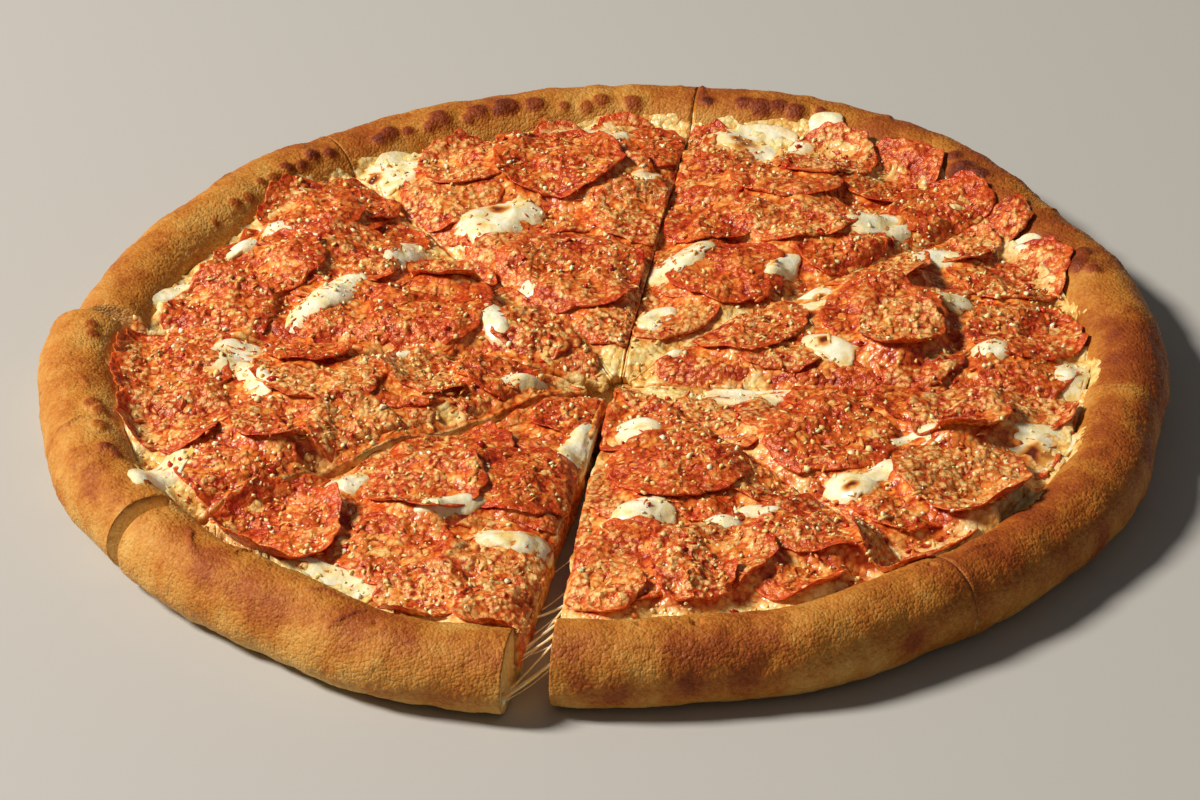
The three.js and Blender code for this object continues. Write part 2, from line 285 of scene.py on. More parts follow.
# %% Node helper
class Finish:
    """A material with a Principled shader and a short way to add nodes."""

    def __init__(self, name):
        self.material = bpy.data.materials.new(name)
        self.material.use_nodes = True
        self.tree = self.material.node_tree
        self.shader = self.tree.nodes["Principled BSDF"]
        self.place = self.add("TexCoord").outputs["Object"]

    def _set(self, node, inputs):
        for socket, value in inputs.items():
            target = node.inputs[socket]
            if isinstance(value, bpy.types.NodeSocket):
                self.tree.links.new(value, target)
            else:
                target.default_value = value

    def add(self, kind, inputs=None, **settings):
        """A node of a kind, with its inputs by name or number and its other settings."""
        node = self.tree.nodes.new("ShaderNode" + kind)
        for setting, value in settings.items():
            setattr(node, setting, value)
        self._set(node, inputs or {})
        return node

    def shade(self, **inputs):
        """Sets the shader's inputs. An underscore stands for the blank in a name."""
        self._set(self.shader, {key.replace("_", " "): value for key, value in inputs.items()})

    def attribute(self, name):
        """A value that the mesh holds for each point."""
        return self.add("Attribute", attribute_name=name).outputs["Fac"]

    def speckle(self, size, detail=3.0, roughness=0.55):
        """Cloudy noise whose blotches are about `size` millimetres across."""
        return self.add("TexNoise", {"Vector": self.place, "Scale": 1 / (size * MM),
                                     "Detail": detail, "Roughness": roughness}).outputs["Fac"]

    def granules(self, size):
        """Rounded grains about `size` millimetres across, with creases between them: one minus
        the squared distance to the nearest of scattered points, seen through warped space."""
        warp = self.add("TexNoise", {"Vector": self.place, "Scale": 1 / (1.3 * size * MM),
                                     "Detail": 2.0}).outputs["Color"]
        place = self.add("VectorMath", {0: warp, 1: (0.9 * size * MM,) * 3, 2: self.place},
                         operation="MULTIPLY_ADD").outputs["Vector"]
        near = self.add("TexVoronoi", {"Vector": place, "Scale": 1 / (size * MM)},
                        feature="F1").outputs["Distance"]
        return self.maths("SUBTRACT", 1.0, self.maths("MULTIPLY", near, near))

    def ramp(self, value, *stops):
        """Colours at positions along a value."""
        node = self.add("ValToRGB", {"Fac": value})
        band = node.color_ramp
        while len(band.elements) < len(stops):
            band.elements.new(0.5)
        for element, (position, colour) in zip(band.elements, stops):
            element.position = position
            element.color = (*colour, 1.0)
        return node.outputs["Color"]

    def band(self, value, low, high, to_low=0.0, to_high=1.0):
        """A value moved from one range to another, without going outside it."""
        return self.add("MapRange", {"Value": value, "From Min": low, "From Max": high,
                                     "To Min": to_low, "To Max": to_high}).outputs["Result"]

    def sway(self, noisy, amount):
        """A noisy value, spread evenly to both sides of nought."""
        return self.band(noisy, 0.3, 0.7, -amount, amount)

    def maths(self, operation, a, b):
        return self.add("Math", {0: a, 1: b}, operation=operation).outputs["Value"]

    def total(self, first, *others):
        """The sum of several values."""
        for other in others:
            first = self.maths("ADD", first, other)
        return first

    def mix(self, share, a, b):
        """Colour a where the share is 0, and b where it is 1."""
        node = self.add("Mix", {"Factor": share}, data_type="RGBA")
        self._set(node, {6: a, 7: b})  # the colour sockets, which share their names with others
        return node.outputs[2]

    def bump(self, height, distance, strength, under=None):
        """A normal tilted by a height in units of `distance` millimetres, on top of another."""
        inputs = {"Height": height, "Distance": distance * MM, "Strength": strength}
        if under is not None:
            inputs["Normal"] = under
        return self.add("Bump", inputs).outputs["Normal"]


def srgb(red, green, blue):
    """A colour as it looks on a screen, from 0 to 255, in the light-linear values that a
    shader wants: ((c + 0.055) / 1.055) to the power 2.4."""
    return tuple(((c / 255 + 0.055) / 1.055) ** 2.4 for c in (red, green, blue))

# %% [markdown]
# ## Crust
# The rim is bread that has risen and browned. Its skin is covered in pinhead blisters, with slow
# lumps under them, paler near the base where it lay on the tin and darkest on the crest and on
# large bubbles. The `bake` attribute holds how brown each point is, and painted shade as well:
# the rim is painted darker on the sides turned from the key light.

# %% Crust finish
def crust_finish():
    """Skin from pale to scorched by `bake`, which also holds painted shade on the sides turned
    from the key light, and pored crumb where `crumb` is 1.
    """
    finish = Finish("baked_crust")
    bake = finish.attribute("bake")
    crumb = finish.attribute("crumb")
    grain = finish.speckle(1.6, 5.0, 0.6)
    cloud = finish.speckle(11.0, 4.0, 0.6)
    shade = finish.total(bake, finish.sway(grain, 0.1), finish.sway(cloud, 0.06))
    skin = finish.ramp(shade,
                       (0.0, srgb(220, 182, 104)), (0.25, srgb(206, 152, 74)),
                       (0.45, srgb(188, 118, 42)), (0.62, srgb(158, 80, 24)),
                       (0.8, srgb(134, 58, 22)), (1.0, srgb(88, 34, 16)))
    pores = finish.ramp(finish.speckle(1.1, 4.0, 0.7), (0.3, srgb(212, 160, 84)),
                        (0.6, srgb(240, 206, 138)))
    colour = finish.mix(crumb, skin, pores)
    normal = finish.bump(finish.total(finish.granules(0.9), grain), 0.4, 0.8)
    finish.shade(Base_Color=colour, Roughness=finish.band(grain, 0.3, 0.7, 0.45, 0.62),
                 Normal=normal, Specular_IOR_Level=0.22)
    return finish.material


CRUST = crust_finish()

# %% [markdown]
# A slice's dough is a fan of rays from its tip. Along each ray the upper skin runs out over the
# dough, climbs the rim's inner slope, crosses the crest and comes down outside, and the lower
# skin curls in under the rim to where it meets the table. The walls left by the cutter are
# grids between the two.

# %% Crust shape
RAYS, RIM_ROWS, FLOOR_ROWS, WALL_ROWS = 220, 62, 14, 14
TIP_SHARE = 0.004  # of a ray's length, where it starts, so that the tip is blunt
CONTACT = np.radians(18)  # round the section, where the rim leaves the table


def rim_section(distance, edge, angle):
    """Heights of the lower and upper skin at a distance along a ray. Both are arcs of an
    ellipse round the rim's middle, with the flat base and the flat dough inside it."""
    across = np.clip((distance - (edge - RIM_HALF_WIDTH)) / RIM_HALF_WIDTH, -1, 1)
    arc = np.sqrt(1 - across**2)
    upper = RIM_MIDDLE_HEIGHT + (RIM_HEIGHT - RIM_MIDDLE_HEIGHT) * arc
    inside = distance < edge - 2 * RIM_HALF_WIDTH - 1e-6
    upper = np.where(inside, DOUGH_THICKNESS, upper)
    upper = DOUGH_THICKNESS + (upper - DOUGH_THICKNESS) * rim_lift(angle)
    low_half = RIM_MIDDLE_HEIGHT / np.cos(CONTACT)
    lower = np.where(across > np.sin(CONTACT), RIM_MIDDLE_HEIGHT - low_half * arc, 0)
    middle = DOUGH_THICKNESS + (RIM_MIDDLE_HEIGHT - DOUGH_THICKNESS) * rim_lift(angle)
    return np.minimum(lower * middle / RIM_MIDDLE_HEIGHT, upper), upper


def crust_skin(slice_):
    """The closed skin of one slice's dough, before it is roughened."""
    ray = np.linspace(slice_.first, slice_.last, RAYS)
    edge = slice_.edge(ray)
    turn = np.linspace(-np.pi / 2, np.pi / 2, RIM_ROWS)
    on_rim = edge - RIM_HALF_WIDTH + RIM_HALF_WIDTH * np.sin(turn)[:, None]
    floor_edge = edge - 2 * RIM_HALF_WIDTH - 0.01  # just inside the rim's first row
    floor = np.linspace(TIP_SHARE, 1, FLOOR_ROWS)[:, None] * floor_edge
    distance = np.vstack([floor, on_rim])
    x = slice_.tip[0] + distance * np.cos(ray)
    y = slice_.tip[1] + distance * np.sin(ray)
    low, high = rim_section(distance, edge, np.arctan2(y, x))
    upper, lower = np.stack([x, y, high], -1), np.stack([x, y, low], -1)

    skin = Skin()
    skin.grid(upper)
    start = FLOOR_ROWS + int(np.searchsorted(turn, CONTACT))
    lower[:start + 1, :, 2] = 0
    skin.grid(lower[start:], flip=True)
    share = np.linspace(0, 1, WALL_ROWS)[:, None]
    for column, flip in ((0, False), (-1, True)):
        wall = lower[:, None, column] * (1 - share) + upper[:, None, column] * share
        skin.grid(wall, flip=flip)
    skin.grid(lower[0, :, None] * (1 - share) + upper[0, :, None] * share, flip=True)
    loop = np.vstack([lower[:start, 0], lower[start, :-1], lower[start:0:-1, -1],
                      lower[0, :0:-1]])
    skin.fan(loop, np.append(loop[:, :2].mean(0), 0))
    return skin.welded()

# %% [markdown]
# The large bubbles are bell-shaped swellings at chosen places on the rim, given by the angle
# from the middle, the distance in from the edge, their width and their height. They brown more
# than the skin round them. Pinholes are the same shape pushed in.

# %% Bubbles and pinholes
def bell(distance, width):
    """Falls from 1 at no distance: e to the minus (distance / width) squared."""
    return np.exp(-((distance / width) ** 2))


BUBBLES = [  # degrees, millimetres in from the edge, width, height
    (15.2, 15, 5, 1.4), (17.4, 18, 8, 2.2), (19.6, 14, 6, 1.6), (21.2, 19, 5, 1.2),
    (41, 15, 6, 1.2), (43.5, 18, 9, 2.2), (46, 15, 6, 1.4), (48.6, 19, 5, 1.2),
    (54, 20, 6, 1.2), (64.6, 16, 4, 1.0), (67.2, 18, 6, 1.5), (69.4, 17, 6, 1.4),
    (71.4, 18, 7, 1.6), (73.6, 17, 6, 1.4), (78, 17, 4, 1.0), (87, 19, 6, 1.4),
    (91, 18, 6, 1.6), (92.8, 20, 5, 1.2), (95.6, 19, 4, 0.9), (99.3, 17, 7, 1.6),
    (102.6, 16, 8, 1.9), (104, 18, 5, 1.2), (106.4, 17, 7, 1.8), (108, 19, 4, 1.0),
    (111.5, 17, 8, 2.0), (113.2, 19, 4, 1.0), (116, 18, 4, 1.0), (118.4, 17, 6, 1.6),
    (120, 18, 5, 1.4), (127.2, 18, 4, 1.3), (129.6, 17, 5, 1.6), (131.6, 19, 4, 1.2),
    (133.8, 18, 4.5, 1.4), (136.4, 19, 4, 1.2), (138.6, 18, 3.5, 1.1), (142, 20, 4, 1.0),
    (144.4, 19, 4, 1.1), (149, 20, 3, 0.8), (176, 16, 5, 1.2), (177.6, 17, 4, 1.0),
    (193, 15, 6, 1.5), (194.6, 17, 5, 1.2), (198, 16, 6, 1.5), (203, 15, 5, 1.4),
    (204.4, 17, 4, 1.0), (211, 18, 4, 0.9),
]
PINHOLES = [(-87, 14, 2, -1.4), (-81, 13, 2.5, -1.6), (-54, 14, 2, -1.2), (247, 10, 2, -1.0)]
print(len(BUBBLES), "bubbles and", len(PINHOLES), "pinholes")


def bells(points, places):
    """Sum of bell curves on the rim, and the tallest share of one at each point."""
    total, share = np.zeros(len(points)), np.zeros(len(points))
    for degrees, inward, width, height in places:
        angle = np.radians(degrees)
        radius = PIZZA_RADIUS * reach(angle) - inward
        dx = points[:, 0] - radius * np.cos(angle)
        dy = points[:, 1] - radius * np.sin(angle)
        along = -dx * np.sin(angle) + dy * np.cos(angle)
        inout = dx * np.cos(angle) + dy * np.sin(angle)
        rise = bell(np.hypot(along, 1.15 * inout) ** 1.3, (width / 1.8) ** 1.3)
        rise = np.where(points[:, 2] > RIM_MIDDLE_HEIGHT, rise, 0)
        total, share = total + height * rise, np.maximum(share, rise)
    return total, share

# %% [markdown]
# Here and there the skin has torn or folded as it rose. Each such line is a short raised lip,
# given by the angle from the middle, the distance in from the edge, half its length, its
# direction in degrees and its height.

# %% Torn skin
TEARS = [(221.7, 12, 6, 110, 0.9), (227.2, 19, 5, 60, 0.8), (240, 14, 6, 160, 1.0),
         (243.6, 9, 5, 30, 0.8), (196, 9, 7, 20, 0.8), (188, 14, 4, 100, 0.6),
         (26, 10, 5, 150, 0.8), (31, 6, 4, 60, 0.7), (58, 5, 6, 90, 0.7), (79, 8, 5, 80, 0.8),
         (141, 6, 7, 60, 0.6), (312, 14, 6, 40, 0.7)]
LIP_WIDTH = 0.9


def tears(points):
    """Each lip is a bell across its line, which noise bends, and fades toward its ends."""
    total = np.zeros(len(points))
    bend = 1.6 * noise(points, 5, 11, 2)
    for degrees, inward, half, heading, height in TEARS:
        angle, heading = np.radians(degrees), np.radians(heading)
        radius = PIZZA_RADIUS * reach(angle) - inward
        dx = points[:, 0] - radius * np.cos(angle)
        dy = points[:, 1] - radius * np.sin(angle)
        along = dx * np.cos(heading) + dy * np.sin(heading)
        beside = -dx * np.sin(heading) + dy * np.cos(heading) + bend
        line = np.exp(-((beside / LIP_WIDTH) ** 2) - (along / half) ** 4)
        total += height * np.where(points[:, 2] > RIM_MIDDLE_HEIGHT, line, 0)
    return total

# %% [markdown]
# The outer face has soft brown patches where the air of the oven reached it best. Each is given
# by its angle, its height, its width and how much it browns.

# %% Browned patches
PATCHES = [(-92.8, 14, 5, 0.2), (-89.4, 8, 7, 0.26), (-82.4, 9, 7, 0.24), (-77.4, 8, 5, 0.2),
           (-60, 11, 6, 0.2), (-33, 9, 7, 0.22), (8, 8, 7, 0.24), (62, 9, 7, 0.24),
           (101, 9, 6, 0.22), (150, 8, 7, 0.24), (203, 9, 6, 0.2), (228, 12, 6, 0.22),
           (243, 10, 5, 0.2)]


def patches(points):
    """Each patch is a bell of the distance along the rim and up its face."""
    total, angle = np.zeros(len(points)), np.arctan2(points[:, 1], points[:, 0])
    for degrees, level, width, amount in PATCHES:
        apart = (angle - np.radians(degrees) + np.pi) % (2 * np.pi) - np.pi
        total += amount * bell(np.hypot(PIZZA_RADIUS * apart, points[:, 2] - level), width)
    return total

# %% Make the crusts
CUT_FACE = 0.2  # millimetres inside a cut that still belong to its face
BROWN = 0.36  # how brown the skin is before anything else is added
SHADED_BACK_RIGHT, SHADED_SIDE = np.radians(30), np.radians(-70)  # directions where the rim is painted darker, as shade on the sides turned from the key light


def blisters(points, size, seed):
    """Rounded bumps with creases between them: one minus the size of the noise, squared."""
    return (1 - np.abs(noise(points, size, seed))) ** 2


def make_crust(slice_):
    """Pushes the points of a slice's skin along their normals, works out how brown each point is,
    with painted shade added on the sides turned from the key light, and adds the piece. Lumps,
    blisters, bubbles and torn lips roughen the rim, pores the open cuts, and a closed cut swells
    against its neighbour. Nothing moves where it stands on the table."""
    points, faces = crust_skin(slice_)
    normal = normals_of(points, faces)
    radius = np.hypot(points[:, 0], points[:, 1])
    angle = np.arctan2(points[:, 1], points[:, 0])
    inward = PIZZA_RADIUS * reach(angle) - radius
    sides = slice_.sides(points[:, 0], points[:, 1])
    cut = np.clip(1 - sides.min(-1) / CUT_FACE, 0, 1)
    facing = -(normal[:, :2] @ slice_.normals.T).min(-1)
    crumb = cut * np.clip((facing - 0.8) / 0.15, 0, 1)
    ray = np.arctan2(points[:, 1] - slice_.tip[1], points[:, 0] - slice_.tip[0])
    from_tip = np.hypot(*(points[:, :2] - slice_.tip).T)
    top = rim_section(from_tip, slice_.edge(ray), angle)[1]
    crumb *= np.clip((top - points[:, 2] - 0.4) / 2.4, 0, 1)
    on_rim = np.clip((30 - inward) / 6, 0, 1)
    grounded = np.clip(points[:, 2] / 2.5, 0, 1)

    swelling, bubble = bells(points, BUBBLES)
    dents, _ = bells(points, PINHOLES)
    lumps = 0.6 * noise(points, 13, 1) + 0.4 * noise(points, 5.5, 2)
    fine = 0.16 * blisters(points, 2.8, 3) + 0.3 * blisters(points, 1.5, 4)
    fine *= 0.75 + 0.5 * noise(points, 16, 9)
    pores = -0.9 * np.clip(noise(points, 2.2, 5) + 0.4 * noise(points, 5, 6), 0, 1)
    torn = tears(points)
    closed = 1 - slice_.open[sides.argmin(-1)]
    wall = cut * np.clip((facing - 0.5) / 0.4, 0, 1)
    rough = (on_rim * (lumps + fine + swelling + dents + torn) * (1 - cut)
             + crumb * pores + wall * 0.5 * closed)
    shaped = points + normal * (rough * grounded)[:, None]
    shaped[:, 2] = np.maximum(shaped[:, 2], 0)

    up = np.clip(normal[:, 2], -1, 1)
    bake = BROWN + 0.12 * up + 0.16 * noise(points, 17, 7, 2) + 0.08 * noise(points, 5, 8)
    bake -= 0.22 * np.clip((6 - points[:, 2]) / 6, 0, 1) * on_rim
    scorch = bubble * 2.2 - 0.6 + 0.5 * noise(points, 2.4, 10, 2)
    bake += 0.34 * np.clip(scorch, 0, 1) * (bubble > 0.02) + 0.2 * np.clip(torn, 0, 1)
    bake += patches(points) - 0.12 * np.clip((inward - 18) / 8, 0, 1)
    # Painted shade: the rim is painted darker toward the back right and the front right, the sides
    # turned from the key light
    bake += 0.07 * np.cos(angle - SHADED_BACK_RIGHT)
    bake += 0.09 * np.maximum(0, np.cos(angle - SHADED_SIDE))
    add_piece(f"crust_{slice_.number}", placed(slice_, shaped), faces, CRUST, "crust",
              [f"dough_{slice_.number}"], bake=bake, crumb=crumb)
    return len(faces)


print("crust triangles:", sum(make_crust(slice_) for slice_ in SLICES))

# %% [markdown]
# ## The height of the pile
# Toppings lie on cheese, on the rim and on each other. A fine map holds the height of all that
# has been laid so far. Each new disc reads from it where it comes to rest, and writes its own
# top back into it. The bed under them is not flat: the dough has risen in slow swells, and the
# cutter has pressed each slice down along its two cuts. The cut that faces the front keeps a
# high shoulder and the one behind it slumps.

# %% The map
CELL = 0.5
SPAN = 190.0
AXIS = np.arange(-SPAN, SPAN + CELL, CELL)
MAP_X, MAP_Y = np.meshgrid(AXIS, AXIS, indexing="ij")
BED_LOWEST = 9.0
MOUNDS = [  # x, y, width and height of a swelling under the toppings
    (44, 20, 15, 3.0), (90, 22, 17, 3.0), (128, 42, 16, 1.5), (62, 86, 18, 2.0),
    (108, 92, 15, 2.5), (40, 46, 14, 2.0), (-18, 112, 20, 2.0), (-12, 50, 20, 1.0),
    (-96, 62, 18, 2.0), (-56, 26, 16, 2.5), (-112, -50, 18, 1.5), (-80, -16, 18, 2.5),
    (-52, -72, 18, 2.0), (-24, -70, 16, 2.0), (20, -66, 18, 2.5), (60, -50, 16, 3.0),
    (98, -64, 18, 1.5), (60, -102, 16, 1.5), (105, -28, 16, 2.0), (12, -110, 18, 1.0),
]


def bed_surface(x, y):
    """The cheese's waves, with noise, the mounds and the shoulders along each slice's cuts."""
    height = cheese_surface(x, y) + 0.9 * flat_noise(x, y, 34, 21) + 0.5 * flat_noise(x, y, 13, 22)
    for mound_x, mound_y, width, rise in MOUNDS:
        height += 1.35 * rise * bell(np.hypot(x - mound_x, y - mound_y), width)
    for slice_ in SLICES:
        inside = slice_.sides(x, y)
        owned = inside.min(-1) > -CUT_WIDTH / 2
        for side in (0, 1):
            depth, front = inside[..., side], slice_.normals[side, 1]
            # A crest 9 mm in from a cut that faces the front, and a slump along the others
            shoulder = (max(front, 0) * (2.8 * bell(depth - 9, 6) - 3.6 * bell(depth, 2.6))
                        - max(-front, 0) * 3.2 * bell(depth, 8) - 0.3 * bell(depth, 1.6))
            height += np.where(owned, shoulder, 0)
    return np.maximum(height, BED_LOWEST)


bed = np.maximum(bed_surface(MAP_X, MAP_Y), rim_surface(MAP_X, MAP_Y))
pile = bed.copy()   # the smooth tops of the discs
grainy = bed.copy()  # the same with their wrinkles
print("the bed lies", bed[bed > 0].min().round(1), "to", bed.max().round(1), "mm up")


def sample(field, x, y, corner=(-SPAN, -SPAN)):
    """A field's value at any place: the mean of the four cells round it, by nearness."""
    u, v = (x - corner[0]) / CELL, (y - corner[1]) / CELL
    i = np.clip(np.floor(u).astype(int), 0, field.shape[0] - 2)
    j = np.clip(np.floor(v).astype(int), 0, field.shape[1] - 2)
    s, t = np.clip(u - i, 0, 1), np.clip(v - j, 0, 1)
    return ((1 - s) * (1 - t) * field[i, j] + s * (1 - t) * field[i + 1, j]
            + (1 - s) * t * field[i, j + 1] + s * t * field[i + 1, j + 1])


def slide(field, reach_cells, combine):
    """Combines a field with its own copies moved along one axis and then the other."""
    for axis in (0, 1):
        pad = [(reach_cells, reach_cells) if k == axis else (0, 0) for k in (0, 1)]
        padded, length = np.pad(field, pad, mode="edge"), field.shape[axis]
        copies = [padded[k:k + length] if axis == 0 else padded[:, k:k + length]
                  for k in range(2 * reach_cells + 1)]
        field = combine(copies)
    return field


def blur(field, spread):
    """Each cell becomes the bell-weighted mean of its neighbours."""
    cells = int(np.ceil(2.5 * spread / CELL))  # past that the weights hardly count
    weights = np.exp(-0.5 * (np.arange(-cells, cells + 1) * CELL / spread) ** 2)
    weights /= weights.sum()
    return slide(field, cells, lambda copies: sum(w * c for w, c in zip(weights, copies)))


def widen(field, distance):
    """Each cell becomes the highest of its neighbours."""
    return slide(field, int(round(distance / CELL)), lambda copies: np.maximum.reduce(copies))

# %% [markdown]
# ## Discs that lie on the pile
# A pepperoni slice and a lump of mozzarella are both a disc, limp enough to follow what is under
# it and cut straight where the cutter went through. Its skin is a grid of rings and turns round
# a starting point inside the slice.

# %% A limp disc
OVERHANG = 0.55  # how far a disc may pass its slice's cut, into the gap that the cutter left
OPEN_OVERHANG = 1.5  # how much further where the cut stands open
CORNER = 14  # how sharp the corners are between a disc's edge and a cut


class Disc:
    """An ellipse that lies on the pile, with a wavy edge, trimmed at its slice's cuts."""

    def __init__(self, slice_, x, y, half_length, half_width, degrees, seed, waves):
        self.slice, self.middle = slice_, np.array([x, y], float)
        self.half, self.longest = min(half_length, half_width), max(half_length, half_width)
        yaw = np.radians(degrees)
        turn = np.array([[np.cos(yaw), np.sin(yaw)], [-np.sin(yaw), np.cos(yaw)]])
        self.squeeze = turn / np.array([[half_length], [half_width]])
        self.random = np.random.default_rng(seed)
        self.overhang, self.waves = OVERHANG + OPEN_OVERHANG * slice_.open, waves
        self.phase = self.random.uniform(0, 2 * np.pi, len(waves))
        self.start = self.middle.copy()
        for _ in range(3):  # moves the starting point inside both cuts
            for normal in slice_.normals:
                depth = normal @ (self.start - slice_.tip)
                self.start += normal * max(0, 0.35 * self.half - depth)

    def across(self, x, y):
        """0 at the middle and 1 at the edge of the untrimmed disc, and the direction."""
        u = np.stack([x - self.middle[0], y - self.middle[1]], -1) @ self.squeeze.T
        return np.hypot(u[..., 0], u[..., 1]), np.arctan2(y - self.middle[1], x - self.middle[0])

    def radius(self, turn):
        """Distance from the starting point to the edge. The ellipse and the two cuts are met
        by a ray, and the nearest is taken with its corners rounded."""
        ray = np.stack([np.cos(turn), np.sin(turn)], -1)
        q, d = self.squeeze @ (self.start - self.middle), ray @ self.squeeze.T
        a, b, c = (d * d).sum(-1), d @ q, q @ q - 1
        edge = (-b + np.sqrt(np.maximum(b * b - a * c, 1e-6))) / a
        for (times, size), phase in zip(self.waves, self.phase):
            edge = edge * (1 + size * np.sin(times * turn + phase))
        total = edge ** -float(CORNER)
        for normal, overhang in zip(self.slice.normals, self.overhang):
            depth = normal @ (self.start - self.slice.tip) + overhang
            facing = np.maximum(-(ray @ normal), 1e-3)
            total = total + (depth / facing) ** -float(CORNER)
        return total ** (-1 / CORNER)

    def window(self):
        """The part of the map that the disc can touch, with a margin."""
        size = self.longest * 1.3 + 12
        low = np.clip(((self.middle - size + SPAN) / CELL).astype(int), 0, len(AXIS) - 2)
        high = np.clip(((self.middle + size + SPAN) / CELL).astype(int), 2, len(AXIS))
        return (slice(low[0], high[0]), slice(low[1], high[1]))


EDGE_RINGS = np.array([(0.985, 0.86), (1.0, 0.5), (0.985, 0.14)])  # how far out, how high
UNDER_RINGS = 6


def lay(disc, rest_on, shape, relief, rings, turns):
    """Lays a disc and returns its closed skin. It droops where the cutter pressed it, most at a
    cut that faces the front. `rest_on(pile)` gives the height on which it comes to rest,
    `shape(across, turn)` how high its underside stands off that and how thick it is, and
    `relief(points, across)` roughens the top."""
    area = disc.window()
    x, y = MAP_X[area], MAP_Y[area]
    base = pile[area]
    rest = rest_on(base)
    across, turn = disc.across(x, y)
    stand, thick = shape(across, turn)
    droop = 0.6 * np.maximum(0, 0.6 - disc.slice.depth(x, y))
    for side, normal in enumerate(disc.slice.normals):
        droop += 2.6 * max(normal[1], 0) * bell(disc.slice.sides(x, y)[..., side], 2.4)
    under = rest + stand - droop
    corner = (AXIS[area[0].start], AXIS[area[1].start])

    # Rings: across the top, round the edge, and back under
    share = np.concatenate([np.linspace(0, 0.965, rings), EDGE_RINGS[:, 0],
                            np.linspace(0.95, 0, UNDER_RINGS)])
    level = np.concatenate([np.ones(rings), EDGE_RINGS[:, 1], np.zeros(UNDER_RINGS)])[:, None]
    angle = np.linspace(0, 2 * np.pi, turns + 1)
    out = share[:, None] * disc.radius(angle)
    px = disc.start[0] + out * np.cos(angle)
    py = disc.start[1] + out * np.sin(angle)
    px[:, -1], py[:, -1] = px[:, 0], py[:, 0]
    pz = sample(under, px, py, corner) + level * sample(thick, px, py, corner)
    wrinkles = relief(np.stack([px, py, pz], -1), disc.across(px, py)[0])
    pz = pz + np.where(level > 0.4, wrinkles, 0)

    turn_from_start = np.arctan2(y - disc.start[1], x - disc.start[0]) % (2 * np.pi)
    edge = np.interp(turn_from_start, angle, disc.radius(angle))
    inside = np.hypot(x - disc.start[0], y - disc.start[1]) < edge
    top = under + thick
    rough = top + relief(np.stack([x, y, top], -1), across)
    pile[area] = np.where(inside, np.maximum(base, top), base)
    grainy[area] = np.where(inside, np.maximum(grainy[area], rough), grainy[area])
    skin = Skin()
    skin.grid(np.stack([px, py, pz], -1))
    return skin.welded()

# %% [markdown]
# ## Pepperoni
# In the oven a slice of pepperoni renders its fat, cups, and ruffles at its rim. Its face is
# grained with meat and fat, glossy with oil and veiled with cheese, and its thin raised rim is a
# clearer orange red, because light comes through it. Its colour is also painted darker in its
# hollows and creases, as shade, and paler on its lumps and grains, as a painted highlight.

# %% Pepperoni finish
def pepperoni_finish():
    """Meat from dark red to pale fat by noise, painted darker in the hollows and creases as shade
    and paler on the lumps as a highlight by `height` and the granules, under a veil of cheese that
    `tone` makes thicker or thinner, with a clearer rim where `across` nears 1."""
    finish = Finish("baked_pepperoni")
    across, tone = finish.attribute("across"), finish.attribute("tone")
    height = finish.attribute("height")
    fat = finish.speckle(2.2, 4.0, 0.62)
    cloud = finish.speckle(10.0, 3.0, 0.6)
    granule = finish.granules(1.9)
    # Painted shade and highlight: the lumps' `height` and the granules' domes make the meat paler
    # on top and darker in the hollows and creases
    grain = finish.total(finish.band(fat, 0.3, 0.7, 0.0, 0.5),
                         finish.band(height, -1.2, 1.4, 0.0, 0.5), finish.sway(cloud, 0.12),
                         finish.band(granule, 0.5, 1.0, -0.12, 0.1))
    meat = finish.ramp(grain,
                       (0.0, srgb(120, 14, 4)), (0.26, srgb(168, 40, 8)),
                       (0.48, srgb(200, 78, 22)), (0.7, srgb(220, 118, 46)),
                       (1.0, srgb(240, 168, 96)))
    # A veil of melted shreds, which covers some slices more than others. It is laid thicker on the
    # lumps and grains and is paler on their tops, a painted highlight
    shreds = finish.total(finish.speckle(3.6, 5.0, 0.72),
                          finish.band(height, -1.2, 1.4, -0.06, 0.06),
                          finish.band(granule, 0.5, 1.0, -0.05, 0.05),
                          finish.band(tone, 0.0, 1.0, -0.11, 0.1))
    # Painted highlight: the veil is paler on the tops of its granules
    veil = finish.ramp(finish.total(fat, finish.band(granule, 0.5, 1.0, -0.15, 0.15)),
                       (0.3, srgb(208, 112, 40)), (0.5, srgb(230, 164, 82)),
                       (0.68, srgb(250, 218, 148)))
    meat = finish.mix(finish.band(shreds, 0.5, 0.6, 0.0, 0.8), meat, veil)
    rim = finish.ramp(cloud, (0.35, srgb(186, 40, 8)), (0.65, srgb(226, 100, 30)))
    colour = finish.mix(finish.band(across, 0.9, 0.99, 0.0, 0.7), meat, rim)
    normal = finish.bump(finish.total(shreds, granule, fat), 0.65, 0.8)
    normal = finish.bump(finish.speckle(0.8, 2.0, 0.5), 0.15, 0.5, normal)
    finish.shade(Base_Color=colour, Roughness=finish.band(fat, 0.3, 0.7, 0.38, 0.22),
                 Normal=normal, Specular_IOR_Level=0.6, Specular_Tint=(1.0, 0.86, 0.7, 1.0),
                 Subsurface_Weight=0.3, Subsurface_Radius=(1.0, 0.35, 0.12),
                 Subsurface_Scale=0.0016)
    return finish.material


PEPPERONI = pepperoni_finish()

# %% [markdown]
# Each pepperoni is given by its number among the solids, or 0 where it is a further one, then
# its place, radius, the rise of its cupped rim, and the further rise of one side and the
# direction of that side in degrees. The order is the order in which they were dropped. Under
# them is a first layer, spread evenly, which fills the hollows.

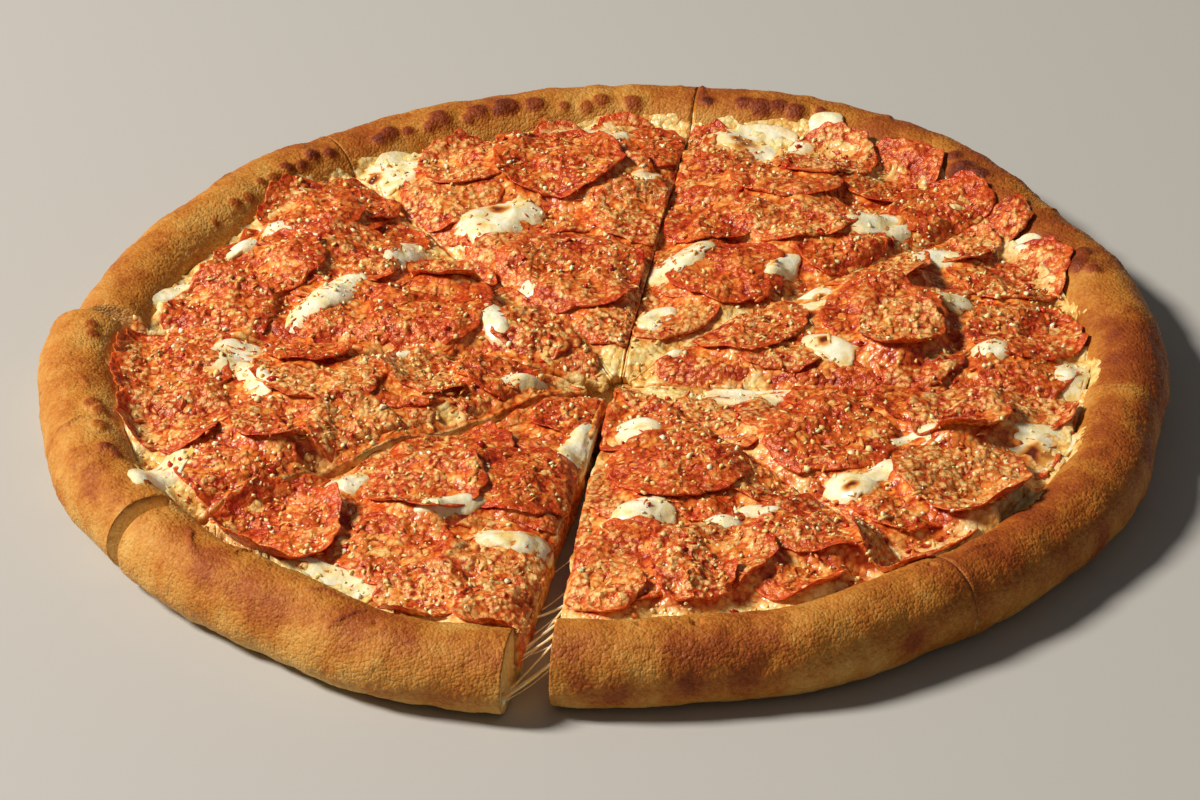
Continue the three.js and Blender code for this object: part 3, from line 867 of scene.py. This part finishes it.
# %% Where the pepperoni lie
PEPPERONI_PLACES = {
    1: [(0, 95, -4, 14, 1, 2, -90), (0, 128, -9, 16, 1, 2, -90), (1, 130, 14, 19, 1, 0, 0),
        (2, 128, 49, 19, 1, 1, 60), (0, 124, 80, 13, 1, 0, 0), (0, 112, 68, 14, 1, 1.5, -60),
        (3, 84, 52, 19, 1, 4, -40), (4, 42, 19, 20, 1, 1, 150), (5, 85, 19, 20, 1, 2, 10),
        (0, 90, 8, 14, 2, 3, -80)],
    2: [(0, 34, 131, 14, 1, 0, 0), (0, 92, 113, 18, 1, 0, 0), (1, 109, 88, 18, 1, 1, 70),
        (2, 38, 47, 19, 1, 0, 0), (0, 33, 110, 15, 1, 0, 0), (0, 32, 84, 17, 1, 0, 0),
        (0, 74, 62, 15, 1, 1, 0), (3, 62, 82, 19, 1, 1, -60), (4, 59, 108, 18, 1, 0, 0),
        (5, 72, 124, 17, 1, 1.5, 65)],
    3: [(0, -30, 126, 16, 1, 0, 0), (0, 14, 131, 15, 1, 0, 0), (1, -52, 98, 17, 1, 0, 0),
        (2, -46, 120, 18, 1, 2, 120), (0, 0, 109, 15, 1, 0, 0), (3, -17, 115, 21, 2, 1, 90),
        (0, 12, 86, 18, 1, 0, 0), (0, -34, 64, 11, 1, 0, 0), (0, 3, 20, 12, 1, 0, 0),
        (4, -12, 49, 24, 2, 2, 0)],
    4: [(0, -84, 98, 17, 1, 0, 0), (1, -97, 88, 17, 1, 2, 130), (2, -83, 58, 18, 1, 0, 0),
        (3, -110, 54, 19, 1, 2, 160), (4, -123, 27, 18, 1, 4, 100), (0, -80, 23, 17, 1, 0, 0),
        (0, -22, 15, 15, 1, 0, 0), (5, -56, 25, 20, 1, 2, 60), (0, -50, 50, 14, 1, 4, -90)],
    5: [(0, -130, 9, 18, 1, 1, 90), (1, -129, -12, 18, 1, 1, 180), (2, -105, -61, 19, 2, 1, 220),
        (3, -126, -34, 18, 1, 2, 200), (0, -96, -41, 14, 1, 2, -90), (4, -82, -11, 21, 1, 2, 180),
        (0, -88, 5, 14, 1, 0, 0), (0, -48, -8, 16, 1, 0, 0), (0, -28, -8, 13, 1, 0, 0),
        (0, -71, -41, 15, 1, 3, -60)],
    6: [(1, -59, -100, 17, 1, 0, 0), (2, -94, -90, 20, 3, 3, 130), (0, -44, -45, 18, 1, 0, 0),
        (3, -21, -67, 20, 1, 0, 0), (4, -51, -71, 18, 1, 3, 250), (0, -8, -23, 13, 1, 0, 0),
        (0, -29, -113, 18, 1, 1, -90), (0, -51, -123, 14, 1, 1, -90),
        (0, -28, -130, 14, 1, 1, -90)],
    7: [(0, 17, -16, 15, 1, 0, 0), (0, 20, -37, 14, 1, 0, 0), (1, 48, -67, 17, 1, 0, 0),
        (2, 20, -65, 21, 1, 1, -90), (0, 53, -117, 16, 1, 3, -60), (3, 60, -98, 18, 1, 3, -60),
        (4, 88, -104, 18, 1, 4, 200), (5, 7, -114, 20, 1, 2, -80), (0, 29, -113, 18, 1, 3, -60),
        (0, 24, -124, 12, 1, 3, -100), (0, -2, -126, 12, 1, 2, -100)],
    8: [(0, 69, -23, 16, 1, 0, 0), (1, 66, -51, 20, 1, 1, 200), (0, 86, -84, 16, 1, 1, -90),
        (2, 105, -74, 21, 2, 4, -50), (3, 98, -26, 19, 1, 0, 0), (0, 128, -31, 15, 1, 1, 0),
        (4, 105, -40, 16, 2, 5, -70)],
}
PEPPERONI_THICKNESS = 1.6
PEPPERONI_WAVES = [(2, 0.03), (3, 0.035), (5, 0.03), (9, 0.02), (14, 0.018), (21, 0.012)]
FIRST_LAYER_SPACING = 24.0
FIRST_LAYER_RADIUS = 18.0


def first_layer(slice_):
    """Places on a triangular lattice, a little out of line, inside the slice and clear of the
    rim."""
    rows, columns = np.meshgrid(np.arange(-8, 9), np.arange(-8, 9), indexing="ij")
    x = (columns + rows / 2 + 0.3) * FIRST_LAYER_SPACING
    y = (rows + 0.4) * FIRST_LAYER_SPACING * np.sqrt(3) / 2
    x = x + 5 * flat_noise(x, y, 9, 41)
    y = y + 5 * flat_noise(x, y, 9, 42)
    inward = RIM_INNER_RADIUS - np.hypot(x, y) / reach(np.arctan2(y, x))
    chosen = (slice_.depth(x, y) > 3) & (inward > 15)
    return [(0, px, py, FIRST_LAYER_RADIUS, 0.6, 0, 0) for px, py in zip(x[chosen], y[chosen])]


def lay_pepperoni(slice_, count, place, rings, turns):
    """Lays one pepperoni, adds it as a piece, and returns how many triangles it has."""
    node, x, y, radius, cup, lift, toward = place
    seed = slice_.number * 100 + count
    disc = Disc(slice_, x, y, radius, radius * 0.96, 0, seed, PEPPERONI_WAVES)
    ruffle, dimple = disc.random.uniform(0, 2 * np.pi, 2)
    cup = cup * disc.random.uniform(0.6, 1.5)

    def shape(across, turn):
        """A cup that rises with the fourth power of the distance, one side lifted further and
        a ruffled rim."""
        inner = np.minimum(across, 1.1)
        side = np.maximum(0, inner * np.cos(turn - np.radians(toward)))
        wave = 0.4 * np.sin(4 * turn + ruffle) + 0.3 * np.sin(7 * turn + dimple)
        return (cup * inner**4 + 1.2 * lift * side**3 + wave * inner**4 + 0.1,
                PEPPERONI_THICKNESS * (1 - 0.6 * np.minimum(inner, 1) ** 6))

    def relief(points, across):
        """Lumps of meat and fat, calmer toward the rim."""
        calm = 1 - 0.7 * np.clip((across - 0.82) / 0.16, 0, 1)
        coarse = 1.1 * noise(points, 5.5, seed) + 0.9 * (blisters(points, 3.0, seed + 1) - 0.4)
        fine = 0.35 * (blisters(points, 1.9, seed + 2) - 0.4) + 0.2 * noise(points, 1.3, seed + 3)
        return calm * (coarse + fine)

    def limp(base):
        """It bridges hollows narrower than a few millimetres."""
        return np.maximum(blur(widen(base, 1.5), 3.0), base - 0.3)

    points, faces = lay(disc, limp, shape, relief, rings, turns)
    across = disc.across(points[:, 0], points[:, 1])[0]
    # The height of the lumps, which the finish uses to paint shade in the hollows and a highlight
    # on the lumps
    height = relief(points, across)
    nodes = [f"pepperoni_{slice_.number}_{node}"] if node else []
    tone = np.full(len(points), disc.random.uniform(0, 1))
    add_piece(f"pepperoni_slice_{slice_.number}_{count}", placed(slice_, points), faces,
              PEPPERONI, "pepperoni", nodes, across=across, tone=tone, height=height)
    return len(faces)


FINE, COARSE = (30, 108), (13, 48)  # rings and turns
laid = triangles = 0
for slice_ in SLICES:
    below = first_layer(slice_)
    for count, place in enumerate(below + PEPPERONI_PLACES[slice_.number], 1):
        detail = FINE if count > len(below) else COARSE
        triangles += lay_pepperoni(slice_, count, place, *detail)
        laid += 1
print(laid, "pepperoni,", triangles, "triangles")

# %% [markdown]
# ## Mozzarella
# Lumps of fresh cheese are dropped on last. They have melted into smooth, bright puddles that
# fill the hollows between the pepperoni, which stand out of them, and a few have caught the
# heat and browned.

# %% Mozzarella finish
def mozzarella_finish():
    """Milky in the middle, oily toward the ragged edge, and burnt where `browned` is high."""
    finish = Finish("melted_mozzarella")
    browned, across = finish.attribute("browned"), finish.attribute("across")
    cloud = finish.speckle(6.0, 4.0, 0.6)
    milky = finish.ramp(cloud, (0.32, srgb(236, 204, 124)), (0.43, srgb(246, 230, 178)),
                        (0.58, srgb(252, 244, 216)))
    oily = finish.ramp(cloud, (0.3, srgb(214, 140, 60)), (0.7, srgb(240, 196, 110)))
    ragged = finish.total(across, finish.sway(cloud, 0.3))
    colour = finish.mix(finish.band(ragged, 0.78, 1.1), milky, oily)
    burnt = finish.ramp(browned, (0.0, srgb(240, 214, 150)), (0.4, srgb(222, 158, 72)),
                        (0.75, srgb(160, 78, 34)), (1.0, srgb(96, 38, 20)))
    colour = finish.mix(finish.band(browned, 0.1, 0.4), colour, burnt)
    normal = finish.bump(finish.speckle(3.0, 3.0, 0.5), 0.7, 0.7)
    finish.shade(Base_Color=colour, Roughness=0.26, Normal=normal, Specular_IOR_Level=0.5,
                 Subsurface_Weight=0.35, Subsurface_Radius=(1.0, 0.7, 0.35),
                 Subsurface_Scale=0.002)
    return finish.material


MOZZARELLA = mozzarella_finish()

# %% [markdown]
# Each lump is given by its number among the solids or 0, its place, half its length and width,
# the direction of its length in degrees, and its thickness.

# %% Where the mozzarella lies
MOZZARELLA_PLACES = {
    1: [(0, 65, 34, 8, 6, 100, 4), (0, 68, 2, 10, 5, -50, 3), (0, 118, 0, 6, 5, 0, 2),
        (0, 105, 60, 8, 6, 0, 2.5), (0, 107, 30, 7, 5, 0, 2), (0, 134, 67, 5, 4, 0, 2),
        (0, 142, -11, 10, 5, 80, 2), (0, 17, 7, 7, 5, 0, 2.5)],
    2: [(0, 15, 24, 8, 5, 60, 2.5), (1, 52, 138, 15, 9, -18, 3), (0, 87, 76, 10, 8, 0, 3.5),
        (0, 55, 49, 9, 4, 60, 2.5), (0, 23, 57, 13, 6, 45, 2.5), (0, 22, 148, 6, 4, 0, 2),
        (0, 73, 145, 6, 4, 0, 2)],
    3: [(1, -36, 84, 17, 9, 35, 3.5), (2, -8, 140, 15, 7, 5, 3), (0, 16, 108, 8, 5, 0, 2.5),
        (0, -29, 38, 9, 5, 60, 2), (0, -72, 119, 13, 8, 60, 3), (0, -81, 113, 7, 5, 0, 2)],
    4: [(1, -89, 33, 18, 6, 52, 3), (0, -66, 63, 12, 5, 70, 2.5), (0, -107, 78, 5, 4, 0, 2),
        (0, -137, 40, 12, 3.5, 52, 2), (0, -36, 16, 9, 4, 100, 2), (0, -118, 66, 9, 4, 50, 1.5)],
    5: [(0, -110, 4, 12, 7, 80, 3), (0, -102, -16, 13, 4, -65, 2), (0, -128, -67, 15, 6, 70, 3),
        (0, -60, 3, 7, 3, 0, 2), (0, -21, -13, 8, 4, 20, 2)],
    6: [(1, -24, -98, 13, 6, -12, 4), (2, -79, -114, 14, 7, -25, 3), (0, -75, -64, 8, 6, 80, 4),
        (0, -44, -84, 10, 4, 20, 2), (0, -5, -43, 14, 6, 75, 2.5), (0, -10, -9, 6, 4, 0, 2)],
    7: [(0, 8, -41, 7, 6, 0, 2.5), (0, 10, -89, 10, 5, 0, 2.5), (0, 33, -95, 6, 4, 0, 2),
        (0, 44, -88, 6, 3, 0, 2)],
    8: [(1, 44, -15, 15, 10, 10, 2.5), (2, 127, -53, 14, 10, 35, 2.5), (0, 71, -77, 8, 7, 0, 5),
        (0, 81, -70, 9, 4, 40, 2), (0, 94, -52, 10, 5, 10, 2)],
}
# Where the heat has caught a lump, and how wide
BROWN_SPOTS = [(71, -79, 2.6), (66, 33, 2.4), (44, 137, 5.0), (16, 108, 5.0), (-36, 90, 3.5),
               (128, -56, 6.0), (-44, 22, 3.0), (-78, 116, 3.0), (66, 4, 3.0), (-20, -95, 2.5)]
MOZZARELLA_WAVES = [(2, 0.07), (3, 0.13), (5, 0.11), (8, 0.06), (13, 0.03)]


def lay_mozzarella(slice_, count, place):
    """Lays one lump, adds it as a piece, and returns how many triangles it has."""
    node, x, y, half_length, half_width, degrees, thickness = place
    seed = slice_.number * 100 + 50 + count
    disc = Disc(slice_, x, y, half_length * 1.15, half_width * 1.2, degrees, seed,
                MOZZARELLA_WAVES)

    def shape(across, turn):
        """A low dome: one minus the distance squared, to the power 0.7. Its edge lies under
        the surface round it."""
        dome = np.clip(1 - across**2, 0, 1) ** 0.7
        return np.full_like(across, -1.5), 1.2 + (0.9 + 0.6 * thickness) * dome

    def relief(points, across):
        """Soft lumps, gone at the edge."""
        calm = np.clip(1.3 - across, 0, 1)
        return calm * (0.9 * noise(points, 7, seed) + 0.5 * noise(points, 3.2, seed + 1))

    def molten(base):
        """It levels out what is under it."""
        return blur(base, 3.2)

    points, faces = lay(disc, molten, shape, relief, 15, 52)
    across = disc.across(points[:, 0], points[:, 1])[0]
    browned = sum(bell(np.hypot(points[:, 0] - a, points[:, 1] - b), size)
                  for a, b, size in BROWN_SPOTS)
    browned = browned * np.clip(0.75 + 0.7 * noise(points, 3, 43, 2), 0, 1.3)
    nodes = [f"mozzarella_{slice_.number}_{node}"] if node else []
    add_piece(f"mozzarella_slice_{slice_.number}_{count}", placed(slice_, points), faces,
              MOZZARELLA, "mozzarella", nodes, browned=browned, across=across)
    return len(faces)


def covered():
    """1 where something has been laid on the bed, and 0 elsewhere."""
    return (pile > bed + 0.2).astype(float)


under_pepperoni = covered()
laid = triangles = 0
for slice_ in SLICES:
    for count, place in enumerate(MOZZARELLA_PLACES[slice_.number], 1):
        triangles += lay_mozzarella(slice_, count, place)
        laid += 1
print(laid, "lumps of mozzarella,", triangles, "triangles")

# %% [markdown]
# ## Melted cheese
# Under and between the pepperoni the cheese has melted into one sheet. It wells up in the
# valleys of the pile, so its top is the pile's own height, blurred: that is higher than the pile
# in a hollow and lower on a crest, where the pepperoni then shows. Toward the rim it thins out
# on the slope, and at the cuts it shows as a pale, slumped edge.

# %% Cheese finish
def cheese_finish():
    """Pale cheese, stained by the fat of the pepperoni where `oil` is high. It is painted lighter
    on its lumps, which `height` gives, and on the tops of its granules, a painted highlight, and
    darker in the hollows between them, painted shade."""
    finish = Finish("melted_cheese")
    oil = finish.attribute("oil")
    cloud = finish.speckle(5.0, 4.0, 0.6)
    height = finish.attribute("height")
    granule = finish.granules(2.1)
    # Painted highlight and shade: the lumps and granule tops are painted paler and the hollows
    # between them darker
    light = finish.total(cloud, finish.band(height, -0.8, 0.8, -0.15, 0.15),
                         finish.band(granule, 0.5, 1.0, -0.12, 0.08))
    pale = finish.ramp(light, (0.3, srgb(222, 158, 70)), (0.46, srgb(240, 204, 122)),
                       (0.68, srgb(250, 232, 174)))
    oily = finish.ramp(light, (0.26, srgb(164, 42, 8)), (0.42, srgb(208, 92, 26)),
                       (0.56, srgb(232, 142, 60)), (0.74, srgb(250, 204, 126)))
    colour = finish.mix(finish.band(oil, 0.1, 0.7), pale, oily)
    normal = finish.bump(finish.total(cloud, granule), 0.8, 0.7)
    normal = finish.bump(finish.speckle(0.9, 2.0, 0.5), 0.2, 0.4, normal)
    finish.shade(Base_Color=colour, Roughness=finish.band(cloud, 0.3, 0.7, 0.38, 0.22),
                 Normal=normal, Subsurface_Weight=0.25, Subsurface_Radius=(1.0, 0.55, 0.2),
                 Subsurface_Scale=0.0015)
    return finish.material


CHEESE = cheese_finish()

# %% Cheese shape
CHEESE_RAYS, CHEESE_ROWS, CHEESE_WALL_ROWS = 130, 150, 12
CHEESE_BOTTOM = DOUGH_THICKNESS + 0.4
CHEESE_SETBACK = 20.5  # from the pizza's edge to the cheese's, on average


def film_relief(x, y):
    """Lumps where shreds of cheese have not quite run together."""
    return 0.6 * flat_noise(x, y, 5.5, 32) + 0.45 * flat_noise(x, y, 2.6, 35, 2)


def cheese_skin(slice_):
    """The closed skin of one slice's cheese. The top is the blurred pile with small waves, sunk
    a little, rounded down at the cuts. The flat bottom lies on the dough, and at the cuts it
    hangs down the dough's wall."""
    ray = np.linspace(slice_.first, slice_.last, CHEESE_RAYS)
    uneven = 2.2 * flat_noise(60 * np.cos(ray), 60 * np.sin(ray), 5, 31, 2)
    out = slice_.edge(ray) - CHEESE_SETBACK + uneven
    distance = np.linspace(0.02, 1, CHEESE_ROWS)[:, None] * out
    x = slice_.tip[0] + distance * np.cos(ray)
    y = slice_.tip[1] + distance * np.sin(ray)
    depth = slice_.depth(x, y)
    top = sample(melted, x, y) + film_relief(x, y)
    top -= 0.5 * np.clip(1 - depth / 1.6, 0, 1) ** 2
    rim = rim_surface(x, y)
    thin = np.clip((out - distance) / 5, 0, 1)
    top = np.where(rim > 0, np.minimum(top, rim + 0.9 * np.sqrt(thin) - 0.35), top)
    upper = np.stack([x, y, top], -1)
    lower = np.stack([x, y, np.full_like(x, CHEESE_BOTTOM)], -1)
    for column in (0, -1):
        hang = np.clip(3.5 + 3.5 * flat_noise(x[:, column], y[:, column], 7, 36, 2), 0, 6)
        lower[1:-1, column, 2] -= hang[1:-1]
    share = np.linspace(0, 1, CHEESE_WALL_ROWS)[:, None]
    skin = Skin()
    skin.grid(upper)
    for column, flip in ((0, False), (-1, True)):
        skin.grid(lower[:, None, column] * (1 - share) + upper[:, None, column] * share, flip)
    for row, flip in ((0, True), (-1, False)):
        skin.grid(lower[row, :, None] * (1 - share) + upper[row, :, None] * share, flip)
    loop = np.vstack([lower[:-1, 0], lower[-1, :-1], lower[:0:-1, -1], lower[0, :0:-1]])
    skin.fan(loop, np.append(loop[:, :2].mean(0), CHEESE_BOTTOM))
    return skin.welded()


def make_cheese(slice_):
    """Lets the edge at the cuts slump outward, most where they stand open, stains the cheese
    with oil where pepperoni lie, less toward the rim, and adds the piece."""
    points, faces = cheese_skin(slice_)
    normal = normals_of(points, faces)
    sides = slice_.sides(points[:, 0], points[:, 1])
    cut = np.clip(1 - sides.min(-1) / 0.3, 0, 1)
    open_ = slice_.open[sides.argmin(-1)]
    slump = cut * (0.45 + 0.25 * noise(points, 3.0, 33)
                   + open_ * (0.9 + 0.9 * noise(points, 6.0, 37, 2)))
    shaped = points + normal * slump[:, None]
    oil = sample(coverage, points[:, 0], points[:, 1]) + 0.25 * noise(points, 6, 34)
    oil *= np.clip((RIM_INNER_RADIUS - 4 - np.hypot(points[:, 0], points[:, 1])) / 8, 0.3, 1)
    # The height of the lumps, which the finish uses to paint a highlight on them and shade between
    # them
    height = film_relief(points[:, 0], points[:, 1])
    add_piece(f"cheese_slice_{slice_.number}", placed(slice_, shaped), faces, CHEESE,
              "melted_cheese", [f"cheese_{slice_.number}"], height=height,
              oil=oil * (1 - cut) + cut * (0.45 + 0.6 * noise(points, 7, 38, 2)))
    return len(faces)


coverage = blur(under_pepperoni, 2.0)
melted = blur(grainy, 2.4) + 0.5 - 0.9 * blur(covered(), 1.0)
print("cheese triangles:", sum(make_cheese(slice_) for slice_ in SLICES))

# %% [markdown]
# ## Small things strewn on top
# Grated hard cheese, dried herbs and a few bits of tomato are strewn over the slices by the
# thousand. Each is a rough pebble of two dozen faces, squashed and turned at random, and all of
# one kind are one mesh.

# %% Pebbles
PEBBLE_RINGS, PEBBLE_TURNS = 4, 6
CLUSTERING = 1.2  # how strongly they keep to the places where more fall


def pebble():
    """A ball as a function of two angles, with few faces."""
    ring = np.linspace(np.pi, 0, PEBBLE_RINGS)[:, None]
    turn = np.linspace(0, 2 * np.pi, PEBBLE_TURNS + 1)
    grid = np.stack([np.sin(ring) * np.cos(turn), np.sin(ring) * np.sin(turn),
                     np.cos(ring) + 0 * turn], -1)
    grid[:, -1] = grid[:, 0]
    skin = Skin()
    skin.grid(grid, flip=True)
    return skin.welded()


def strewn(random, count):
    """At most so many random places on the slices. More fall where a slow noise is high."""
    x, y = random.uniform(-150, 150, (2, count * 6))
    inward = RIM_INNER_RADIUS - np.hypot(x, y) / reach(np.arctan2(y, x))
    thick = flat_noise(x, y, 22, 51) + 0.6 * flat_noise(x, y, 8, 52)
    keep = (inward > 1) & (random.uniform(-1, 1, len(x)) < CLUSTERING * thick)
    return x[keep][:count], y[keep][:count]


def make_strewn(name, material, slot, count, sizes, shape, seed, flat):
    """Pebbles from the smaller to the larger size, squashed to `shape`, half sunk in the
    surface under them. They are turned at random, or only about the upright if `flat`."""
    random = np.random.default_rng(seed)
    x, y = strewn(random, count)
    count = len(x)
    size = sizes[0] + (sizes[1] - sizes[0]) * random.uniform(0, 1, count) ** 3
    turned, _ = np.linalg.qr(random.normal(size=(count, 3, 3)))
    turned *= np.sign(np.linalg.det(turned))[:, None, None]
    if flat:
        turn = random.uniform(0, 2 * np.pi, count)
        turned = np.zeros((count, 3, 3))
        turned[:, 0, 0] = turned[:, 1, 1] = np.cos(turn)
        turned[:, 1, 0], turned[:, 0, 1] = np.sin(turn), -np.sin(turn)
        turned[:, 2, 2] = 1
    template, faces = pebble()
    corners = template * shape * random.uniform(0.5, 1.4, (count, len(template), 1))
    corners = np.einsum("nij,nkj->nki", turned, corners * size[:, None, None] / 2)
    depth = np.stack([slice_.depth(x, y) for slice_ in SLICES])
    shift = np.array([slice_.shift for slice_ in SLICES])[depth.argmax(0)]
    z = sample(surface, x, y) - (0.15 if flat else 0.0) * size
    corners += np.stack([x + shift[:, 0], y + shift[:, 1], z], -1)[:, None]
    keep = depth.max(0) > 0.5
    corners, count = corners[keep], keep.sum()
    all_faces = (faces + len(template) * np.arange(count)[:, None, None]).reshape(-1, 3)
    tone = np.repeat(random.uniform(0, 1, count), len(template))
    add_piece(name, corners.reshape(-1, 3), all_faces, material, slot, tone=tone)
    print(name, count, "pieces,", len(all_faces), "triangles")


def strewn_finish(name, roughness, *stops):
    """Each pebble takes one colour of the ramp, by its tone."""
    finish = Finish(name)
    tone = finish.total(finish.attribute("tone"), finish.sway(finish.speckle(0.8), 0.12))
    finish.shade(Base_Color=finish.ramp(tone, *stops), Roughness=roughness,
                 Normal=finish.bump(finish.speckle(0.6), 0.08, 0.3), Subsurface_Weight=0.5,
                 Subsurface_Radius=(1.0, 0.6, 0.3), Subsurface_Scale=0.0012)
    return finish.material


surface = np.maximum(grainy, melted)
GRATED = strewn_finish("grated_cheese", 0.55,
                       (0.0, srgb(236, 170, 86)), (0.3, srgb(246, 206, 126)),
                       (0.7, srgb(252, 230, 168)), (1.0, srgb(255, 244, 206)))
SHREDS = strewn_finish("melted_shreds", 0.4,
                       (0.0, srgb(206, 84, 26)), (0.5, srgb(226, 128, 52)),
                       (0.85, srgb(240, 170, 86)), (1.0, srgb(248, 206, 130)))
HERB = strewn_finish("dried_herb", 0.6, (0.0, srgb(40, 34, 14)), (0.5, srgb(92, 92, 30)),
                     (1.0, srgb(150, 140, 48)))
TOMATO = strewn_finish("tomato", 0.25, (0.0, srgb(150, 22, 10)), (1.0, srgb(206, 56, 20)))
STREWN = [  # name, finish, slot, count, sizes, proportions, seed, whether they lie flat
    ("grated_cheese_crumbs", GRATED, "melted_cheese", 3300, (0.9, 2.7), (1, 0.85, 0.5), 61, False),
    ("melted_shreds", SHREDS, "melted_cheese", 1500, (1.1, 2.2), (2.8, 0.8, 0.6), 64, True),
    ("herb_flecks", HERB, "melted_cheese", 200, (0.6, 1.7), (1, 0.6, 0.25), 62, False),
    ("tomato_bits", TOMATO, "pepperoni", 160, (1.5, 4.0), (1, 0.8, 0.5), 63, False),
]
for kind in STREWN:
    make_strewn(*kind)

# %% [markdown]
# ## Strings of cheese
# Where a slice has been pulled out, the cheese between it and its neighbour has drawn out into
# thin strings. A string is a small circle carried along a sagging path, thick at both ends.

# %% Strings
STRING_ROWS, STRING_TURNS = 25, 8


def make_strings(name, left, right, distances, seed):
    """Strings from the last cut of one slice to the first cut of the next. Each starts near one
    of the distances from the tip and ends near it, and sags as 4t(1 - t) along its way."""
    random = np.random.default_rng(seed)
    share = np.linspace(0, 1, STRING_ROWS)[:, None]
    skin = Skin()
    for near in distances:
        ends = []
        for slice_, angle, low in ((left, left.last, 3.0), (right, right.first, 7.0)):
            along = near - 2 * low + random.uniform(-5, 5)
            place = slice_.tip + slice_.shift + along * np.array([np.cos(angle), np.sin(angle)])
            ends.append(np.append(place, low + random.uniform(0, 6)))
        inward = (ends[1] - ends[0]) / np.linalg.norm(ends[1] - ends[0])
        path = ends[0] - inward + share * (ends[1] - ends[0] + 2 * inward)
        path[:, 2] -= random.uniform(0.1, 1.5) * 4 * (share * (1 - share))[:, 0]
        thickness = random.uniform(0.14, 0.45) * (1 + 3.5 * (2 * share - 1) ** 8)
        turn = np.linspace(0, 2 * np.pi, STRING_TURNS + 1)
        side = np.cross(inward, (0, 0, 1))
        side /= np.linalg.norm(side)
        up = np.cross(side, inward)
        ring = np.cos(turn)[:, None] * side + np.sin(turn)[:, None] * up
        tube = path[:, None] + thickness[:, None] * ring
        tube[:, -1] = tube[:, 0]
        tube = np.concatenate([path[:1, None] + 0 * tube[:1], tube,
                               path[-1:, None] + 0 * tube[:1]])  # closed at both ends
        skin.grid(tube)
    points, faces = skin.welded()
    add_piece(name, points, faces, MOZZARELLA, "melted_cheese",
              across=0.75 + 0.3 * noise(points, 5, seed), browned=np.zeros(len(points)))
    print(name, len(faces), "triangles")


make_strings("strings_front", SLICES[5], SLICES[6],
             [104, 116, 125, 131, 136, 140, 144, 147, 150, 152, 154, 156, 158, 160], 71)
make_strings("strings_left", SLICES[4], SLICES[5], [40, 52, 61, 70, 84, 96, 110, 126], 72)

# %% [markdown]
# ## Stage
# A plain pale floor, a soft key light from the left, a weak fill and a dim sky. The camera looks
# down at the pizza from the front, far enough away to flatten it.

# %% Floor and light
FLOOR_HALF, FLOOR_DROP = 3.0, 0.0004  # metres; the drop keeps it clear of the crust's base


def make_floor():
    """A square, which belongs to the stage and not to the pizza."""
    finish = Finish("pale_floor")
    finish.shade(Base_Color=(*srgb(184, 182, 178), 1.0), Roughness=0.75)
    mesh = bpy.data.meshes.new("floor")
    corners = [(-1, -1), (1, -1), (1, 1), (-1, 1)]
    mesh.from_pydata([(FLOOR_HALF * x, FLOOR_HALF * y, 0) for x, y in corners], [],
                     [(0, 1, 2, 3)])
    mesh.materials.append(finish.material)
    floor = bpy.data.objects.new("floor", mesh)
    floor.location.z = -FLOOR_DROP
    bpy.context.scene.collection.objects.link(floor)


def aimed(data, name, position, target):
    """An object at a position that looks at a target."""
    thing = bpy.data.objects.new(name, data)
    bpy.context.scene.collection.objects.link(thing)
    thing.location = position
    away = thing.location - type(thing.location)(target)
    thing.rotation_euler = away.to_track_quat("Z", "Y").to_euler()
    return thing


def make_light(name, position, size, watts, colour):
    """A round soft light that looks at the pizza."""
    light = bpy.data.lights.new(name, "AREA")
    light.shape, light.size, light.energy, light.color = "DISK", size, watts, colour
    aimed(light, name, position, (0, 0, 0))


make_floor()
make_light("key", (-1.94, -0.06, 1.94), 0.68, 108, (1.0, 0.94, 0.85))
make_light("fill", (0.9, -0.9, 1.0), 1.2, 0.3, (1.0, 0.97, 0.92))
world = bpy.data.worlds.new("soft_sky")
bpy.context.scene.world = world
world.use_nodes = True
sky = world.node_tree.nodes["Background"]
sky.inputs["Color"].default_value = (1.0, 0.97, 0.92, 1)
sky.inputs["Strength"].default_value = 0.09

# %% Camera
CAMERA_ELEVATION = np.radians(32.32)
CAMERA_DISTANCE = 1.5
lens = bpy.data.cameras.new("camera")
lens.lens, lens.sensor_width = 144.2, 36
target = np.array([-0.0009, -0.0013, 0])
back = np.array([0, -np.cos(CAMERA_ELEVATION), np.sin(CAMERA_ELEVATION)])
bpy.context.scene.camera = aimed(lens, "camera", target + CAMERA_DISTANCE * back, target)
bpy.context.scene.view_settings.view_transform = "Standard"
